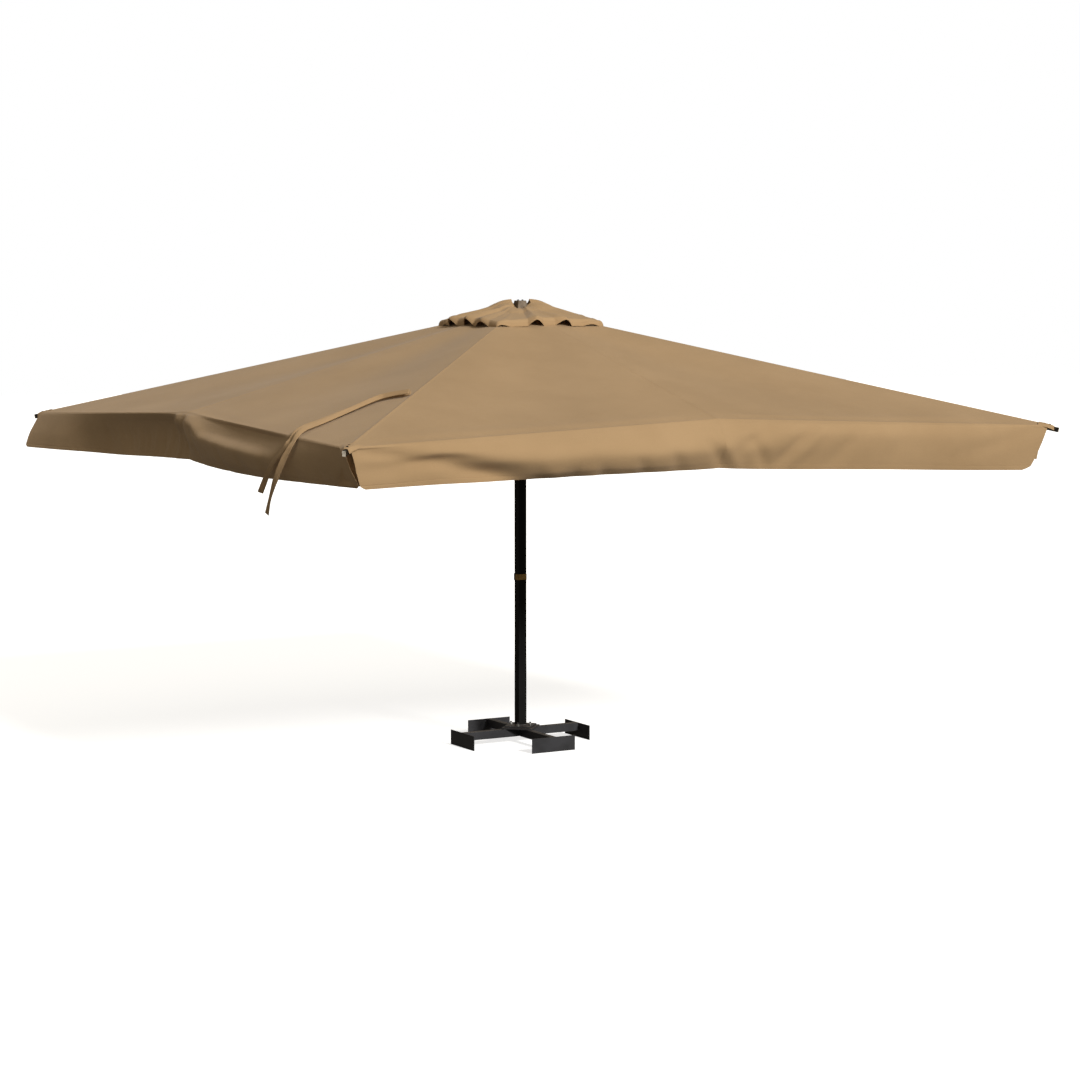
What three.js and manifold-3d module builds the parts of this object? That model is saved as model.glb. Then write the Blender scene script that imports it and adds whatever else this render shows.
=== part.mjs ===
// Large square market umbrella on a cross base: telescopic mast, eight folding ribs with
// forked struts, a vented canopy with hanging valances, and two fabric tie tapes.
// Millimetres. The origin is on the ground under the mast, +Z points up, and the sides
// of the canopy are square to X and Y. The umbrella is modelled open.

import * as THREE from 'three';
import { mergeVertices } from 'three/addons/utils/BufferGeometryUtils.js';
import Module from 'manifold-3d';

const wasm = await Module();
wasm.setup();

// ---- Driving dimensions ------------------------------------------------------------

const GAP = 0.3; // left between pieces that touch
const OVERCUT = 2; // how far a cutting solid reaches past the face that it cuts

// Canopy, measured on the cloth's upper side
const CORNER_REACH = 2500; // axis to corner, along X and along Y
const CORNER_Z = 2208;
const SIDE_REACH = 2398; // axis to the middle of a side, where the short rib ends
const SIDE_Z = 2305;
const APEX_Z = 2951; // where the four slopes would meet on the axis
const VENT_HALF = 280; // square opening at the top, under the vent cap
const CLOTH = 1.5;
const CLOTH_SAG = 32; // deepest dip between two ribs
const PANEL_GAP = 1; // between neighbouring panels
const VALANCE_DROP = 245;
const VALANCE_LEAN = 25; // the hem hangs a little inside the eave
const CORNER_SLIT = 34; // from the corner to each valance's end

// Tie tapes and vent cap
const TAPE_W = 34;
const CAP_HALF = 415;
const CAP_CORNER_Z = 2834;
const CAP_SIDE_Z = 2872;
const CAP_TOP_HALF = 46;
const CAP_TOP_Z = 2966;
const TOP_CAP_H = 62; // the tapered block on the crown that the vent cap is screwed to
const TOP_CAP_FOOT = 42;
const TOP_CAP_HEAD = 30;

// Folding frame
const HINGE_Z = 2912; // rib hinges on the crown, umbrella open
const HINGE_R = 75;
const STRUT_HINGE_Z = 2150; // strut hinges on the fixed hub
const STRUT_HINGE_R = 62;
const RING_WIRE_R = 4;
const HINGE_CLEAR = 0.6; // round the ring wires and beside each fork
const STRUT_HUB_APOTHEM = 78;
const CROWN_APOTHEM = 92;
const CROWN_PLATE_T = 5;
const RIB_DEPTH = 20.4; // from the cloth's upper side down to the rib's middle
const RIB_W = 20;
const RIB_H = 30;
const RIB_WALL = 2;
const RIB_NOSE = 60; // solid stretch at the hinge
const CORNER_RIB_PAST = 40; // the rib's end stands past the cloth's corner
const SIDE_RIB_SHORT = 12; // and stops inside the eave at mid-side
const CORNER_STRUT_AT = 950; // along the rib from its hinge
const SIDE_STRUT_AT = 969;
const FORK_BAR_T = 4;
const FORK_BAR_H = 20;
const FORK_SPACER_AT = 130;
const FORK_SPACER_R = 7;
const PIVOT_HEAD_R = 9;
const PIVOT_HEAD_T = 4;
const PIVOT_PIN_R = 5;

// Mast
const MAST = 60;
const MAST_WALL = 3;
const MAST_TOP_Z = 2175;
const INNER = 50;
const INNER_WALL = 3;
const INNER_FOOT_Z = 560;
const BUSH_DEPTH = 70;
const BUSH_RIM = 8;
const SLIDE_CLEAR = 0.5; // between the bush and the inner tube
const CLAMP_Z = 1900;
const CLAMP_BOSS_W = 34;
const CLAMP_BOSS_DEPTH = 12;
const SCREW_R = 5;
const SCREW_CLEAR = 0.5;
const KNOB_R = 26;
const KNOB_T = 24;
const KNOB_STAND_OFF = 4; // from the boss to the knob
const KNOB_LOBES = 5;
const SCALLOP_R = 11; // hollows between the knob's lobes
const SCALLOP_OUT = 5; // from the knob's rim to a hollow's centre
const STRAP_Z = 1135;
const STRAP_H = 38;
const STRAP_T = 2.5;

// Base
const BASE_REACH = 452;
const ARM_W = 40;
const ARM_H = 55;
const ARM_WALL = 3;
const FOOT_W = 330;
const FOOT_H = 100;
const FOOT_T = 6;
const BASE_PLATE_CORNER = 150; // half-diagonal of the plate welded on the cross
const FLANGE_CORNER = 125; // half-diagonal of the plate under the mast
const PLATE_T = 10;
const STUD_R = 6;
const STUD_AT = 68;
const STUD_TOP = 22; // above the flange
const STUD_CLEAR = 1;

// ---- Finishes ----------------------------------------------------------------------

const finish = (color, roughness, metalness) => () =>
  new THREE.MeshStandardMaterial({ color, roughness, metalness });
const cloth = finish(0xb3946b, 0.9, 0);
const blackSteel = finish(0x141312, 0.5, 0.4);
const darkAluminium = finish(0x2b2a28, 0.45, 0.6);
const blackPlastic = finish(0x1b1a19, 0.6, 0);
const bronzePlastic = finish(0x6b5a46, 0.55, 0.1);
const zinc = finish(0x8b8a86, 0.35, 0.9);

// ---- Helpers -----------------------------------------------------------------------

const umbrella = new THREE.Group();

function addMesh(parent, name, geometry, material) {
  const mesh = new THREE.Mesh(geometry, material());
  mesh.name = name;
  parent.add(mesh);
  return mesh;
}

function solidOf(geometry) {
  const plain = geometry.clone();
  plain.deleteAttribute('normal');
  plain.deleteAttribute('uv');
  const merged = mergeVertices(plain, 1e-4);
  const mesh = new wasm.Mesh({
    numProp: 3,
    vertProperties: new Float32Array(merged.attributes.position.array),
    triVerts: new Uint32Array(merged.index.array),
  });
  return new wasm.Manifold(mesh);
}

function geometryOf(solid) {
  const mesh = solid.getMesh();
  const geometry = new THREE.BufferGeometry();
  geometry.setAttribute('position', new THREE.BufferAttribute(mesh.vertProperties, 3));
  geometry.setIndex(new THREE.BufferAttribute(mesh.triVerts, 1));
  return geometry;
}

// A box between two corners
function block(low, high) {
  const size = high.map((value, axis) => value - low[axis]);
  const middle = high.map((value, axis) => (value + low[axis]) / 2);
  return new THREE.BoxGeometry(...size).translate(...middle);
}

// A regular prism standing on Z, its flat sides facing +X when sides is even
function prism(apothem, sides, z0, z1) {
  const radius = apothem / Math.cos(Math.PI / sides);
  return new THREE.CylinderGeometry(radius, radius, z1 - z0, sides)
    .rotateX(Math.PI / 2)
    .rotateZ(Math.PI / sides)
    .translate(0, 0, (z0 + z1) / 2);
}

// A round bar along Y, centred on the XZ plane
function pinAlongY(radius, length, x, z, sides = 12) {
  return new THREE.CylinderGeometry(radius, radius, length, sides).translate(x, 0, z);
}

// A tube of square or oblong section between z0 and z1
function boxTube(width, depth, wall, z0, z1) {
  const outline = new THREE.Shape();
  const w = width / 2;
  const d = depth / 2;
  outline.moveTo(-w, -d).lineTo(w, -d).lineTo(w, d).lineTo(-w, d).closePath();
  const bore = new THREE.Path();
  bore.moveTo(-w + wall, -d + wall).lineTo(-w + wall, d - wall);
  bore.lineTo(w - wall, d - wall).lineTo(w - wall, -d + wall).closePath();
  outline.holes.push(bore);
  const tube = new THREE.ExtrudeGeometry(outline, { depth: z1 - z0, bevelEnabled: false });
  return tube.translate(0, 0, z0);
}

const vec = (x, y, z) => new THREE.Vector3(x, y, z);

// A closed sheet of cloth over a grid. at(u, v) gives its outer side, and away(u, v) the
// direction from there into its thickness. The way along v crossed with the way along u
// points out of the outer side. A ring of cloth joins its last column to its first.
function sheet({ at, away, columns, rows, ring = false }) {
  const across = ring ? columns : columns + 1;
  const points = [];
  for (const depth of [0, CLOTH]) {
    for (let j = 0; j <= rows; j += 1) {
      for (let i = 0; i < across; i += 1) {
        const u = i / columns;
        const v = j / rows;
        points.push(...at(u, v).addScaledVector(away(u, v), depth).toArray());
      }
    }
  }
  const outer = (i, j) => j * across + (i % across);
  const inner = (i, j) => (rows + 1) * across + outer(i, j);
  const faces = [];
  const quad = (a, b, c, d) => faces.push(a, c, b, a, d, c);
  for (let i = 0; i < columns; i += 1) {
    for (let j = 0; j < rows; j += 1) {
      quad(outer(i, j), outer(i + 1, j), outer(i + 1, j + 1), outer(i, j + 1));
      quad(inner(i, j), inner(i, j + 1), inner(i + 1, j + 1), inner(i + 1, j));
    }
    quad(outer(i, 0), inner(i, 0), inner(i + 1, 0), outer(i + 1, 0));
    quad(outer(i + 1, rows), inner(i + 1, rows), inner(i, rows), outer(i, rows));
  }
  for (let j = 0; j < rows && !ring; j += 1) {
    quad(outer(0, j + 1), inner(0, j + 1), inner(0, j), outer(0, j));
    quad(outer(columns, j), inner(columns, j), inner(columns, j + 1), outer(columns, j + 1));
  }
  const geometry = new THREE.BufferGeometry();
  geometry.setAttribute('position', new THREE.Float32BufferAttribute(points, 3));
  geometry.setIndex(faces);
  return geometry;
}

// ---- Base: a raised cross of four box-section arms between upright foot plates -------

const armZ0 = FOOT_H - ARM_H;
const armEnd = BASE_REACH - FOOT_T - GAP;

function armAlongX(x0, x1) {
  return boxTube(ARM_H, ARM_W, ARM_WALL, x0, x1)
    .rotateY(Math.PI / 2)
    .translate(0, 0, armZ0 + ARM_H / 2);
}

addMesh(umbrella, 'cross_arm_long', armAlongX(-armEnd, armEnd), blackSteel);
const shortArmFoot = ARM_W / 2 + GAP;
for (const [name, turn] of [['cross_arm_back', 1], ['cross_arm_front', -1]]) {
  const arm = addMesh(umbrella, name, armAlongX(shortArmFoot, armEnd), blackSteel);
  arm.rotation.z = (turn * Math.PI) / 2;
}

const footNames = ['foot_plate_right', 'foot_plate_back', 'foot_plate_left', 'foot_plate_front'];
footNames.forEach((name, quarter) => {
  const low = [BASE_REACH - FOOT_T, -FOOT_W / 2, 0];
  const plate = addMesh(umbrella, name, block(low, [BASE_REACH, FOOT_W / 2, FOOT_H]), blackSteel);
  plate.rotation.z = (quarter * Math.PI) / 2;
});

// The plate on the cross carries four studs, and the mast's flange drops over them
const studPlaces = [0, 1, 2, 3].map((quarter) => {
  const angle = Math.PI / 4 + (quarter * Math.PI) / 2;
  return [STUD_AT * Math.cos(angle), STUD_AT * Math.sin(angle)];
});
const basePlateZ = FOOT_H + GAP;
const flangeZ = basePlateZ + PLATE_T + GAP;
const flangeTop = flangeZ + PLATE_T;

function diamond(corner, z0, z1) {
  return prism(corner / Math.SQRT2, 4, z0, z1).rotateZ(Math.PI / 4);
}

function roundPost(radius, x, y, z0, z1, sides = 12) {
  return prism(radius, sides, z0, z1).translate(x, y, 0);
}

let basePlate = solidOf(diamond(BASE_PLATE_CORNER, basePlateZ, basePlateZ + PLATE_T));
let flange = solidOf(diamond(FLANGE_CORNER, flangeZ, flangeTop));
for (const [x, y] of studPlaces) {
  const stud = roundPost(STUD_R, x, y, basePlateZ + PLATE_T - OVERCUT, flangeTop + STUD_TOP);
  basePlate = basePlate.add(solidOf(stud));
  const hole = roundPost(STUD_R + STUD_CLEAR, x, y, flangeZ - OVERCUT, flangeTop + OVERCUT);
  flange = flange.subtract(solidOf(hole));
}
addMesh(umbrella, 'base_plate', geometryOf(basePlate), blackSteel);
addMesh(umbrella, 'mast_flange', geometryOf(flange), blackSteel);

// ---- Mast: a square outer tube, and an inner tube that slides up out of it -----------

// A round bar along X at the clamp's height
function clampBar(radius, sides, x0, x1) {
  return prism(radius, sides, x0, x1).rotateY(Math.PI / 2).translate(0, 0, CLAMP_Z);
}

// Outer tube with the threaded boss for the clamp screw on its right-hand side
const mastFace = MAST / 2;
const bossFace = mastFace + CLAMP_BOSS_DEPTH;
const bossHalf = CLAMP_BOSS_W / 2;
const bossLow = [mastFace - MAST_WALL / 2, -bossHalf, CLAMP_Z - bossHalf];
const bossHigh = [bossFace, bossHalf, CLAMP_Z + bossHalf];
const screwHole = clampBar(SCREW_R + SCREW_CLEAR, 16, mastFace - 2 * MAST_WALL, bossFace + OVERCUT);
const outerMast = solidOf(boxTube(MAST, MAST, MAST_WALL, flangeTop + GAP, MAST_TOP_Z))
  .add(solidOf(block(bossLow, bossHigh)))
  .subtract(solidOf(screwHole));
addMesh(umbrella, 'outer_mast', geometryOf(outerMast), blackSteel);

// Lobed hand knob with its screw, which presses on the inner tube
const knobX = bossFace + KNOB_STAND_OFF;
let knob = solidOf(clampBar(KNOB_R, 24, knobX, knobX + KNOB_T));
for (let lobe = 0; lobe < KNOB_LOBES; lobe += 1) {
  const angle = (lobe * 2 * Math.PI) / KNOB_LOBES;
  const y = (KNOB_R + SCALLOP_OUT) * Math.cos(angle);
  const z = (KNOB_R + SCALLOP_OUT) * Math.sin(angle);
  const scallop = clampBar(SCALLOP_R, 16, knobX - OVERCUT, knobX + KNOB_T + OVERCUT);
  knob = knob.subtract(solidOf(scallop.translate(0, y, z)));
}
const screw = clampBar(SCREW_R, 16, INNER / 2 + GAP, knobX + OVERCUT);
addMesh(umbrella, 'clamp_knob', geometryOf(knob.add(solidOf(screw))), blackPlastic);

// Plastic bush that guides the inner tube: a skirt inside the outer tube and a rim on top
const bushSide = MAST - 2 * MAST_WALL - 2 * GAP;
const bushWall = (bushSide - INNER) / 2 - SLIDE_CLEAR;
const rimWall = (MAST - bushSide) / 2 + bushWall;
const rimZ = MAST_TOP_Z + GAP;
const skirtTop = rimZ + BUSH_RIM / 2;
const bushSkirt = boxTube(bushSide, bushSide, bushWall, MAST_TOP_Z - BUSH_DEPTH, skirtTop);
const bushCollar = boxTube(MAST, MAST, rimWall, rimZ, rimZ + BUSH_RIM);
const bush = solidOf(bushSkirt).add(solidOf(bushCollar));
addMesh(umbrella, 'guide_bush', geometryOf(bush), blackPlastic);

// Webbing strap kept round the mast, for tying the closed canopy
const strapSide = MAST + 2 * (STRAP_T + GAP);
const strap = boxTube(strapSide, strapSide, STRAP_T, STRAP_Z - STRAP_H / 2, STRAP_Z + STRAP_H / 2);
addMesh(umbrella, 'mast_strap', strap, cloth);

// ---- Hubs: each holds an eight-sided wire ring that the ribs or struts swing on --------

// The ring is one round bar bent to an octagon, so every rib hinges on a straight stretch
function hingeRing(apothem, wireRadius, z) {
  const corners = 8;
  const section = 10;
  const miter = Math.cos(Math.PI / corners);
  const points = [];
  const faces = [];
  const index = (k, s) => (k % corners) * section + (s % section);
  for (let k = 0; k < corners; k += 1) {
    const angle = ((2 * k + 1) * Math.PI) / corners;
    for (let s = 0; s < section; s += 1) {
      const round = (2 * Math.PI * s) / section;
      const reach = (apothem + wireRadius * Math.cos(round)) / miter;
      const height = z + wireRadius * Math.sin(round);
      points.push(reach * Math.cos(angle), reach * Math.sin(angle), height);
      faces.push(index(k, s), index(k + 1, s), index(k + 1, s + 1));
      faces.push(index(k, s), index(k + 1, s + 1), index(k, s + 1));
    }
  }
  const geometry = new THREE.BufferGeometry();
  geometry.setAttribute('position', new THREE.Float32BufferAttribute(points, 3));
  geometry.setIndex(faces);
  return geometry;
}

// An octagonal hub with a slot for each arm and a square bore. The ring lies in a groove
// that is open to the top.
function hub({ apothem, z0, z1, slotWidth, slotFrom, bore, ringR, ringZ }) {
  let body = solidOf(prism(apothem, 8, z0, z1));
  const clear = RING_WIRE_R + HINGE_CLEAR;
  body = body.subtract(solidOf(hingeRing(ringR, clear, ringZ)));
  const way = RING_WIRE_R + HINGE_CLEAR / 2;
  const outer = prism(ringR + way, 8, ringZ, z1 + OVERCUT);
  const inner = prism(ringR - way, 8, ringZ - OVERCUT, z1 + 2 * OVERCUT);
  body = body.subtract(solidOf(outer).subtract(solidOf(inner)));
  for (let k = 0; k < 8; k += 1) {
    const low = [slotFrom, -slotWidth / 2, z0 - OVERCUT];
    const slot = block(low, [apothem * 1.2, slotWidth / 2, z1 + OVERCUT]);
    body = body.subtract(solidOf(slot.rotateZ((k * Math.PI) / 4)));
  }
  const hole = block([-bore / 2, -bore / 2, z0 - OVERCUT], [bore / 2, bore / 2, z1 + OVERCUT]);
  return geometryOf(body.subtract(solidOf(hole)));
}

const forkWidth = RIB_W + 2 * HINGE_CLEAR + 2 * FORK_BAR_T;
const strutHub = hub({
  apothem: STRUT_HUB_APOTHEM,
  z0: STRUT_HINGE_Z - 20,
  z1: STRUT_HINGE_Z + 16,
  slotWidth: forkWidth + 1.5,
  slotFrom: 48,
  bore: MAST + 2 * GAP,
  ringR: STRUT_HINGE_R,
  ringZ: STRUT_HINGE_Z,
});
addMesh(umbrella, 'strut_hub', strutHub, blackPlastic);
const strutRing = hingeRing(STRUT_HINGE_R, RING_WIRE_R, STRUT_HINGE_Z);
addMesh(umbrella, 'strut_hinge_ring', strutRing, zinc);

const crownTop = HINGE_Z + 22;
const crown = hub({
  apothem: CROWN_APOTHEM,
  z0: HINGE_Z - 22,
  z1: crownTop,
  slotWidth: RIB_W + 2,
  slotFrom: 56,
  bore: INNER + 2 * GAP,
  ringR: HINGE_R,
  ringZ: HINGE_Z,
});
addMesh(umbrella, 'crown', crown, blackPlastic);
addMesh(umbrella, 'rib_hinge_ring', hingeRing(HINGE_R, RING_WIRE_R, HINGE_Z), zinc);
const innerMast = boxTube(INNER, INNER, INNER_WALL, INNER_FOOT_Z, crownTop - GAP);
addMesh(umbrella, 'inner_mast', innerMast, darkAluminium);

// Plate that shuts the crown, and the tapered block that holds the vent cap down
const crownPlateZ = crownTop + GAP;
const crownPlate = prism(CROWN_APOTHEM - 4, 8, crownPlateZ, crownPlateZ + CROWN_PLATE_T);
addMesh(umbrella, 'crown_plate', crownPlate, darkAluminium);
const topCapZ = crownPlateZ + CROWN_PLATE_T + GAP;
const headR = TOP_CAP_HEAD * Math.SQRT2;
const footR = TOP_CAP_FOOT * Math.SQRT2;
const topCap = new THREE.CylinderGeometry(headR, footR, TOP_CAP_H, 4)
  .rotateX(Math.PI / 2)
  .rotateZ(Math.PI / 4)
  .translate(0, 0, topCapZ + TOP_CAP_H / 2);
addMesh(umbrella, 'top_cap', topCap, bronzePlastic);

// ---- Ribs and struts ---------------------------------------------------------------

// Each of the eight directions has a rib, a strut and a canopy panel, built along +X in
// a group that is turned about the mast. Long ribs run to the corners, short ones to
// the middle of each side.
const CORNER_R = CORNER_REACH * Math.SQRT2;
const ribKinds = {
  side: {
    clothR: SIDE_REACH,
    clothZ: SIDE_Z,
    endR: SIDE_REACH - SIDE_RIB_SHORT,
    strutAt: SIDE_STRUT_AT,
  },
  corner: {
    clothR: CORNER_R,
    clothZ: CORNER_Z,
    endR: CORNER_R + CORNER_RIB_PAST,
    strutAt: CORNER_STRUT_AT,
  },
};
const directions = [
  ['right', 'side'],
  ['back_right', 'corner'],
  ['back', 'side'],
  ['back_left', 'corner'],
  ['left', 'side'],
  ['front_left', 'corner'],
  ['front', 'side'],
  ['front_right', 'corner'],
];

// How far a rib of this kind falls below level, in radians
function ribFall(kind) {
  return Math.atan2(HINGE_Z - (kind.clothZ - RIB_DEPTH), kind.clothR - HINGE_R);
}

// Box-section rib: solid nose with the ring's eye, pivot pin for the strut's fork
function ribGeometry(kind) {
  const length = (kind.endR - HINGE_R) / Math.cos(ribFall(kind));
  const h = RIB_H / 2;
  const w = RIB_W / 2;
  let rib = solidOf(block([0, -w, -h], [length, w, h]));
  rib = rib.add(solidOf(pinAlongY(h, RIB_W, 0, 0, 16)));
  const low = [RIB_NOSE, -w + RIB_WALL, -h + RIB_WALL];
  rib = rib.subtract(solidOf(block(low, [length + OVERCUT, w - RIB_WALL, h - RIB_WALL])));
  const eye = pinAlongY(RING_WIRE_R + HINGE_CLEAR, RIB_W + OVERCUT, 0, 0);
  rib = rib.subtract(solidOf(eye));
  const pin = pinAlongY(PIVOT_PIN_R, RIB_W + HINGE_CLEAR, kind.strutAt, 0);
  return geometryOf(rib.add(solidOf(pin)));
}

// Strut: two flat bars astride the rib, joined by one spacer, an eye at each end
function strutGeometry(length) {
  const inside = RIB_W / 2 + HINGE_CLEAR;
  const outside = inside + FORK_BAR_T;
  const h = FORK_BAR_H / 2;
  let strut = null;
  for (const side of [-1, 1]) {
    const near = side * inside;
    const far = side * outside;
    const y0 = Math.min(near, far);
    const y1 = Math.max(near, far);
    let bar = solidOf(block([0, y0, -h], [length, y1, h]));
    for (const end of [0, length]) {
      const eye = new THREE.CylinderGeometry(h, h, FORK_BAR_T, 12);
      bar = bar.add(solidOf(eye.translate(end, (y0 + y1) / 2, 0)));
    }
    const head = new THREE.CylinderGeometry(PIVOT_HEAD_R, PIVOT_HEAD_R, PIVOT_HEAD_T, 6);
    head.translate(length, side * (outside + PIVOT_HEAD_T / 2 - GAP), 0);
    bar = bar.add(solidOf(head));
    strut = strut ? strut.add(bar) : bar;
  }
  const spacer = pinAlongY(FORK_SPACER_R, 2 * inside + FORK_BAR_T, FORK_SPACER_AT, 0);
  strut = strut.add(solidOf(spacer));
  const eyes = pinAlongY(RING_WIRE_R + HINGE_CLEAR, 2 * outside + OVERCUT, 0, 0);
  return geometryOf(strut.subtract(solidOf(eyes)));
}

// ---- Canopy ------------------------------------------------------------------------

// The cloth's edges in a rib's own frame. Neighbouring panels meet half-way between two
// ribs, on a line that crosses the straight eave from a side's middle to a corner.
const HALF_STEP = Math.PI / 8;
const eaveSlope = (CORNER_REACH - SIDE_REACH) / CORNER_REACH;
const meetX = SIDE_REACH / (1 - eaveSlope * Math.tan(HALF_STEP));
const meetY = meetX * Math.tan(HALF_STEP);
const meetZ = SIDE_Z - ((SIDE_Z - CORNER_Z) * meetY) / CORNER_REACH;
const meetR = Math.hypot(meetX, meetY);
const ventMeetR = VENT_HALF / Math.cos(HALF_STEP);

function clothLines(kind) {
  const innerR = kind === ribKinds.side ? VENT_HALF : VENT_HALF * Math.SQRT2;
  const fall = (APEX_Z - kind.clothZ) / kind.clothR;
  const meetFall = (APEX_Z - meetZ) / meetR;
  const edgeAt = (radius, side) => {
    const x = radius * Math.cos(HALF_STEP);
    const y = side * (radius * Math.sin(HALF_STEP) - PANEL_GAP / 2);
    return vec(x, y, APEX_Z - meetFall * radius);
  };
  return {
    ribAt: (v) => {
      const radius = innerR + (kind.clothR - innerR) * v;
      return vec(radius, 0, APEX_Z - fall * radius);
    },
    edgeAt: (v, side) => edgeAt(ventMeetR + (meetR - ventMeetR) * v, side),
  };
}

// A point of a panel: v runs from the vent to the eave, and off from -1 to 1 across it,
// with its rib at 0. The panel is a shallow ridge that dips towards both neighbours.
function clothPoint(kind, v, off) {
  const lines = clothLines(kind);
  const across = Math.abs(off);
  const point = lines.ribAt(v).lerp(lines.edgeAt(v, Math.sign(off)), across);
  point.z -= CLOTH_SAG * Math.sin(Math.PI * v) * (1 - Math.cos(Math.PI * across)) * 0.5;
  return point;
}

const DOWN = vec(0, 0, -1);

function panelGeometry(kind) {
  const at = (u, v) => clothPoint(kind, v, 2 * u - 1);
  return sheet({ at, away: () => DOWN, columns: 8, rows: 5 });
}

// A valance hangs from a stretch of the eave and leans a little inwards
function valanceGeometry(eave, inward) {
  const at = (u, v) => {
    const lean = inward.clone().multiplyScalar(v * VALANCE_LEAN);
    lean.z -= CLOTH + GAP + v * VALANCE_DROP;
    return eave(u).add(lean);
  };
  return sheet({ at, away: () => inward, columns: 6, rows: 2 });
}

directions.forEach(([name, kindName], index) => {
  const kind = ribKinds[kindName];
  const arm = new THREE.Group();
  arm.rotation.z = (index * Math.PI) / 4;
  umbrella.add(arm);

  const rib = addMesh(arm, `rib_${name}`, ribGeometry(kind), darkAluminium);
  rib.position.set(HINGE_R, 0, HINGE_Z);
  rib.rotation.y = ribFall(kind);

  const footX = kind.strutAt * Math.cos(ribFall(kind)) + HINGE_R - STRUT_HINGE_R;
  const footZ = HINGE_Z - STRUT_HINGE_Z - kind.strutAt * Math.sin(ribFall(kind));
  const strut = addMesh(
    arm,
    `strut_${name}`,
    strutGeometry(Math.hypot(footX, footZ)),
    darkAluminium
  );
  strut.position.set(STRUT_HINGE_R, 0, STRUT_HINGE_Z);
  strut.rotation.y = -Math.atan2(footZ, footX);

  addMesh(arm, `panel_${name}`, panelGeometry(kind), cloth);

  const lines = clothLines(kind);
  const ribEnd = lines.ribAt(1);
  if (kindName === 'side') {
    const eave = (u) => clothPoint(kind, 1, 2 * u - 1);
    addMesh(arm, `valance_${name}`, valanceGeometry(eave, vec(-1, 0, 0)), cloth);
  } else {
    for (const side of [-1, 1]) {
      const edge = lines.edgeAt(1, side);
      const along = edge.clone().sub(ribEnd).normalize();
      const start = ribEnd.clone().addScaledVector(along, CORNER_SLIT);
      const ends = side < 0 ? [edge, start] : [start, edge];
      const eave = (u) => ends[0].clone().lerp(ends[1], u);
      const inward = vec(-1, -side, 0).normalize();
      const label = side < 0 ? 'a' : 'b';
      addMesh(arm, `valance_${name}_${label}`, valanceGeometry(eave, inward), cloth);
    }
  }
});

// ---- Vent cap: a low pyramid of cloth over the square opening --------------------------

function capPoint(u, v) {
  const angle = 2 * Math.PI * u;
  const square = 1 / Math.max(Math.abs(Math.cos(angle)), Math.abs(Math.sin(angle)));
  const cornerness = (square - 1) / (Math.SQRT2 - 1);
  const hemZ = CAP_SIDE_Z + (CAP_CORNER_Z - CAP_SIDE_Z) * cornerness;
  const reach = (CAP_TOP_HALF + (CAP_HALF - CAP_TOP_HALF) * v) * square;
  const z = CAP_TOP_Z + (hemZ - CAP_TOP_Z) * v;
  return vec(reach * Math.cos(angle), reach * Math.sin(angle), z);
}
const ventCap = sheet({ at: capPoint, away: () => DOWN, columns: 16, rows: 2, ring: true });
addMesh(umbrella, 'vent_cap', ventCap, cloth);

// ---- Tie tapes: sewn to the front left seam, laid over the panel and hanging at the eave --

// Each stop is a point of the tape's middle and the way that its face looks there
const UP = vec(0, 0, 1);
const OUT = vec(Math.SQRT1_2, -Math.SQRT1_2, 0);

function onPanel(v, off, lift) {
  const at = clothPoint(ribKinds.corner, v, off);
  at.z += lift;
  return { at, face: UP };
}

function hanging(x, y, z) {
  return { at: vec(x, y, z), face: OUT };
}

function tapeGeometry(stops) {
  const middle = new THREE.CatmullRomCurve3(stops.map((stop) => stop.at));
  const faces = new THREE.CatmullRomCurve3(stops.map((stop) => stop.face));
  const face = (v) => faces.getPoint(v).normalize();
  const at = (u, v) => {
    const side = face(v).cross(middle.getTangent(v)).normalize();
    return middle.getPoint(v).addScaledVector(side, (u - 0.5) * TAPE_W);
  };
  return sheet({ at, away: (u, v) => face(v).negate(), columns: 1, rows: 22 });
}

const tapes = new THREE.Group();
tapes.rotation.z = (5 * Math.PI) / 4;
umbrella.add(tapes);
const underTape = [
  onPanel(0.63, -0.01, 14),
  onPanel(0.705, -0.24, 12),
  onPanel(0.8, -0.36, 12),
  onPanel(0.9, -0.43, 12),
  onPanel(0.985, -0.465, 16),
  hanging(3038, -493, 2236),
  hanging(3010, -542, 2165),
  hanging(2925, -634, 2055),
  hanging(2827, -734, 1945),
  hanging(2778, -783, 1894),
];
const overTape = [
  onPanel(0.64, -0.01, 22),
  onPanel(0.715, -0.235, 20),
  onPanel(0.81, -0.35, 20),
  onPanel(0.91, -0.415, 20),
  onPanel(0.99, -0.445, 24),
  hanging(3064, -476, 2238),
  hanging(3046, -515, 2160),
  hanging(2980, -590, 2045),
  hanging(2909, -660, 1915),
  hanging(2844, -723, 1774),
];
addMesh(tapes, 'tie_tape_under', tapeGeometry(underTape), cloth);
addMesh(tapes, 'tie_tape_over', tapeGeometry(overTape), cloth);

umbrella.updateMatrixWorld(true);
export default umbrella;
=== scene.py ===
import math
import random

import bmesh
import bpy
from mathutils import Matrix, Vector


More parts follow.
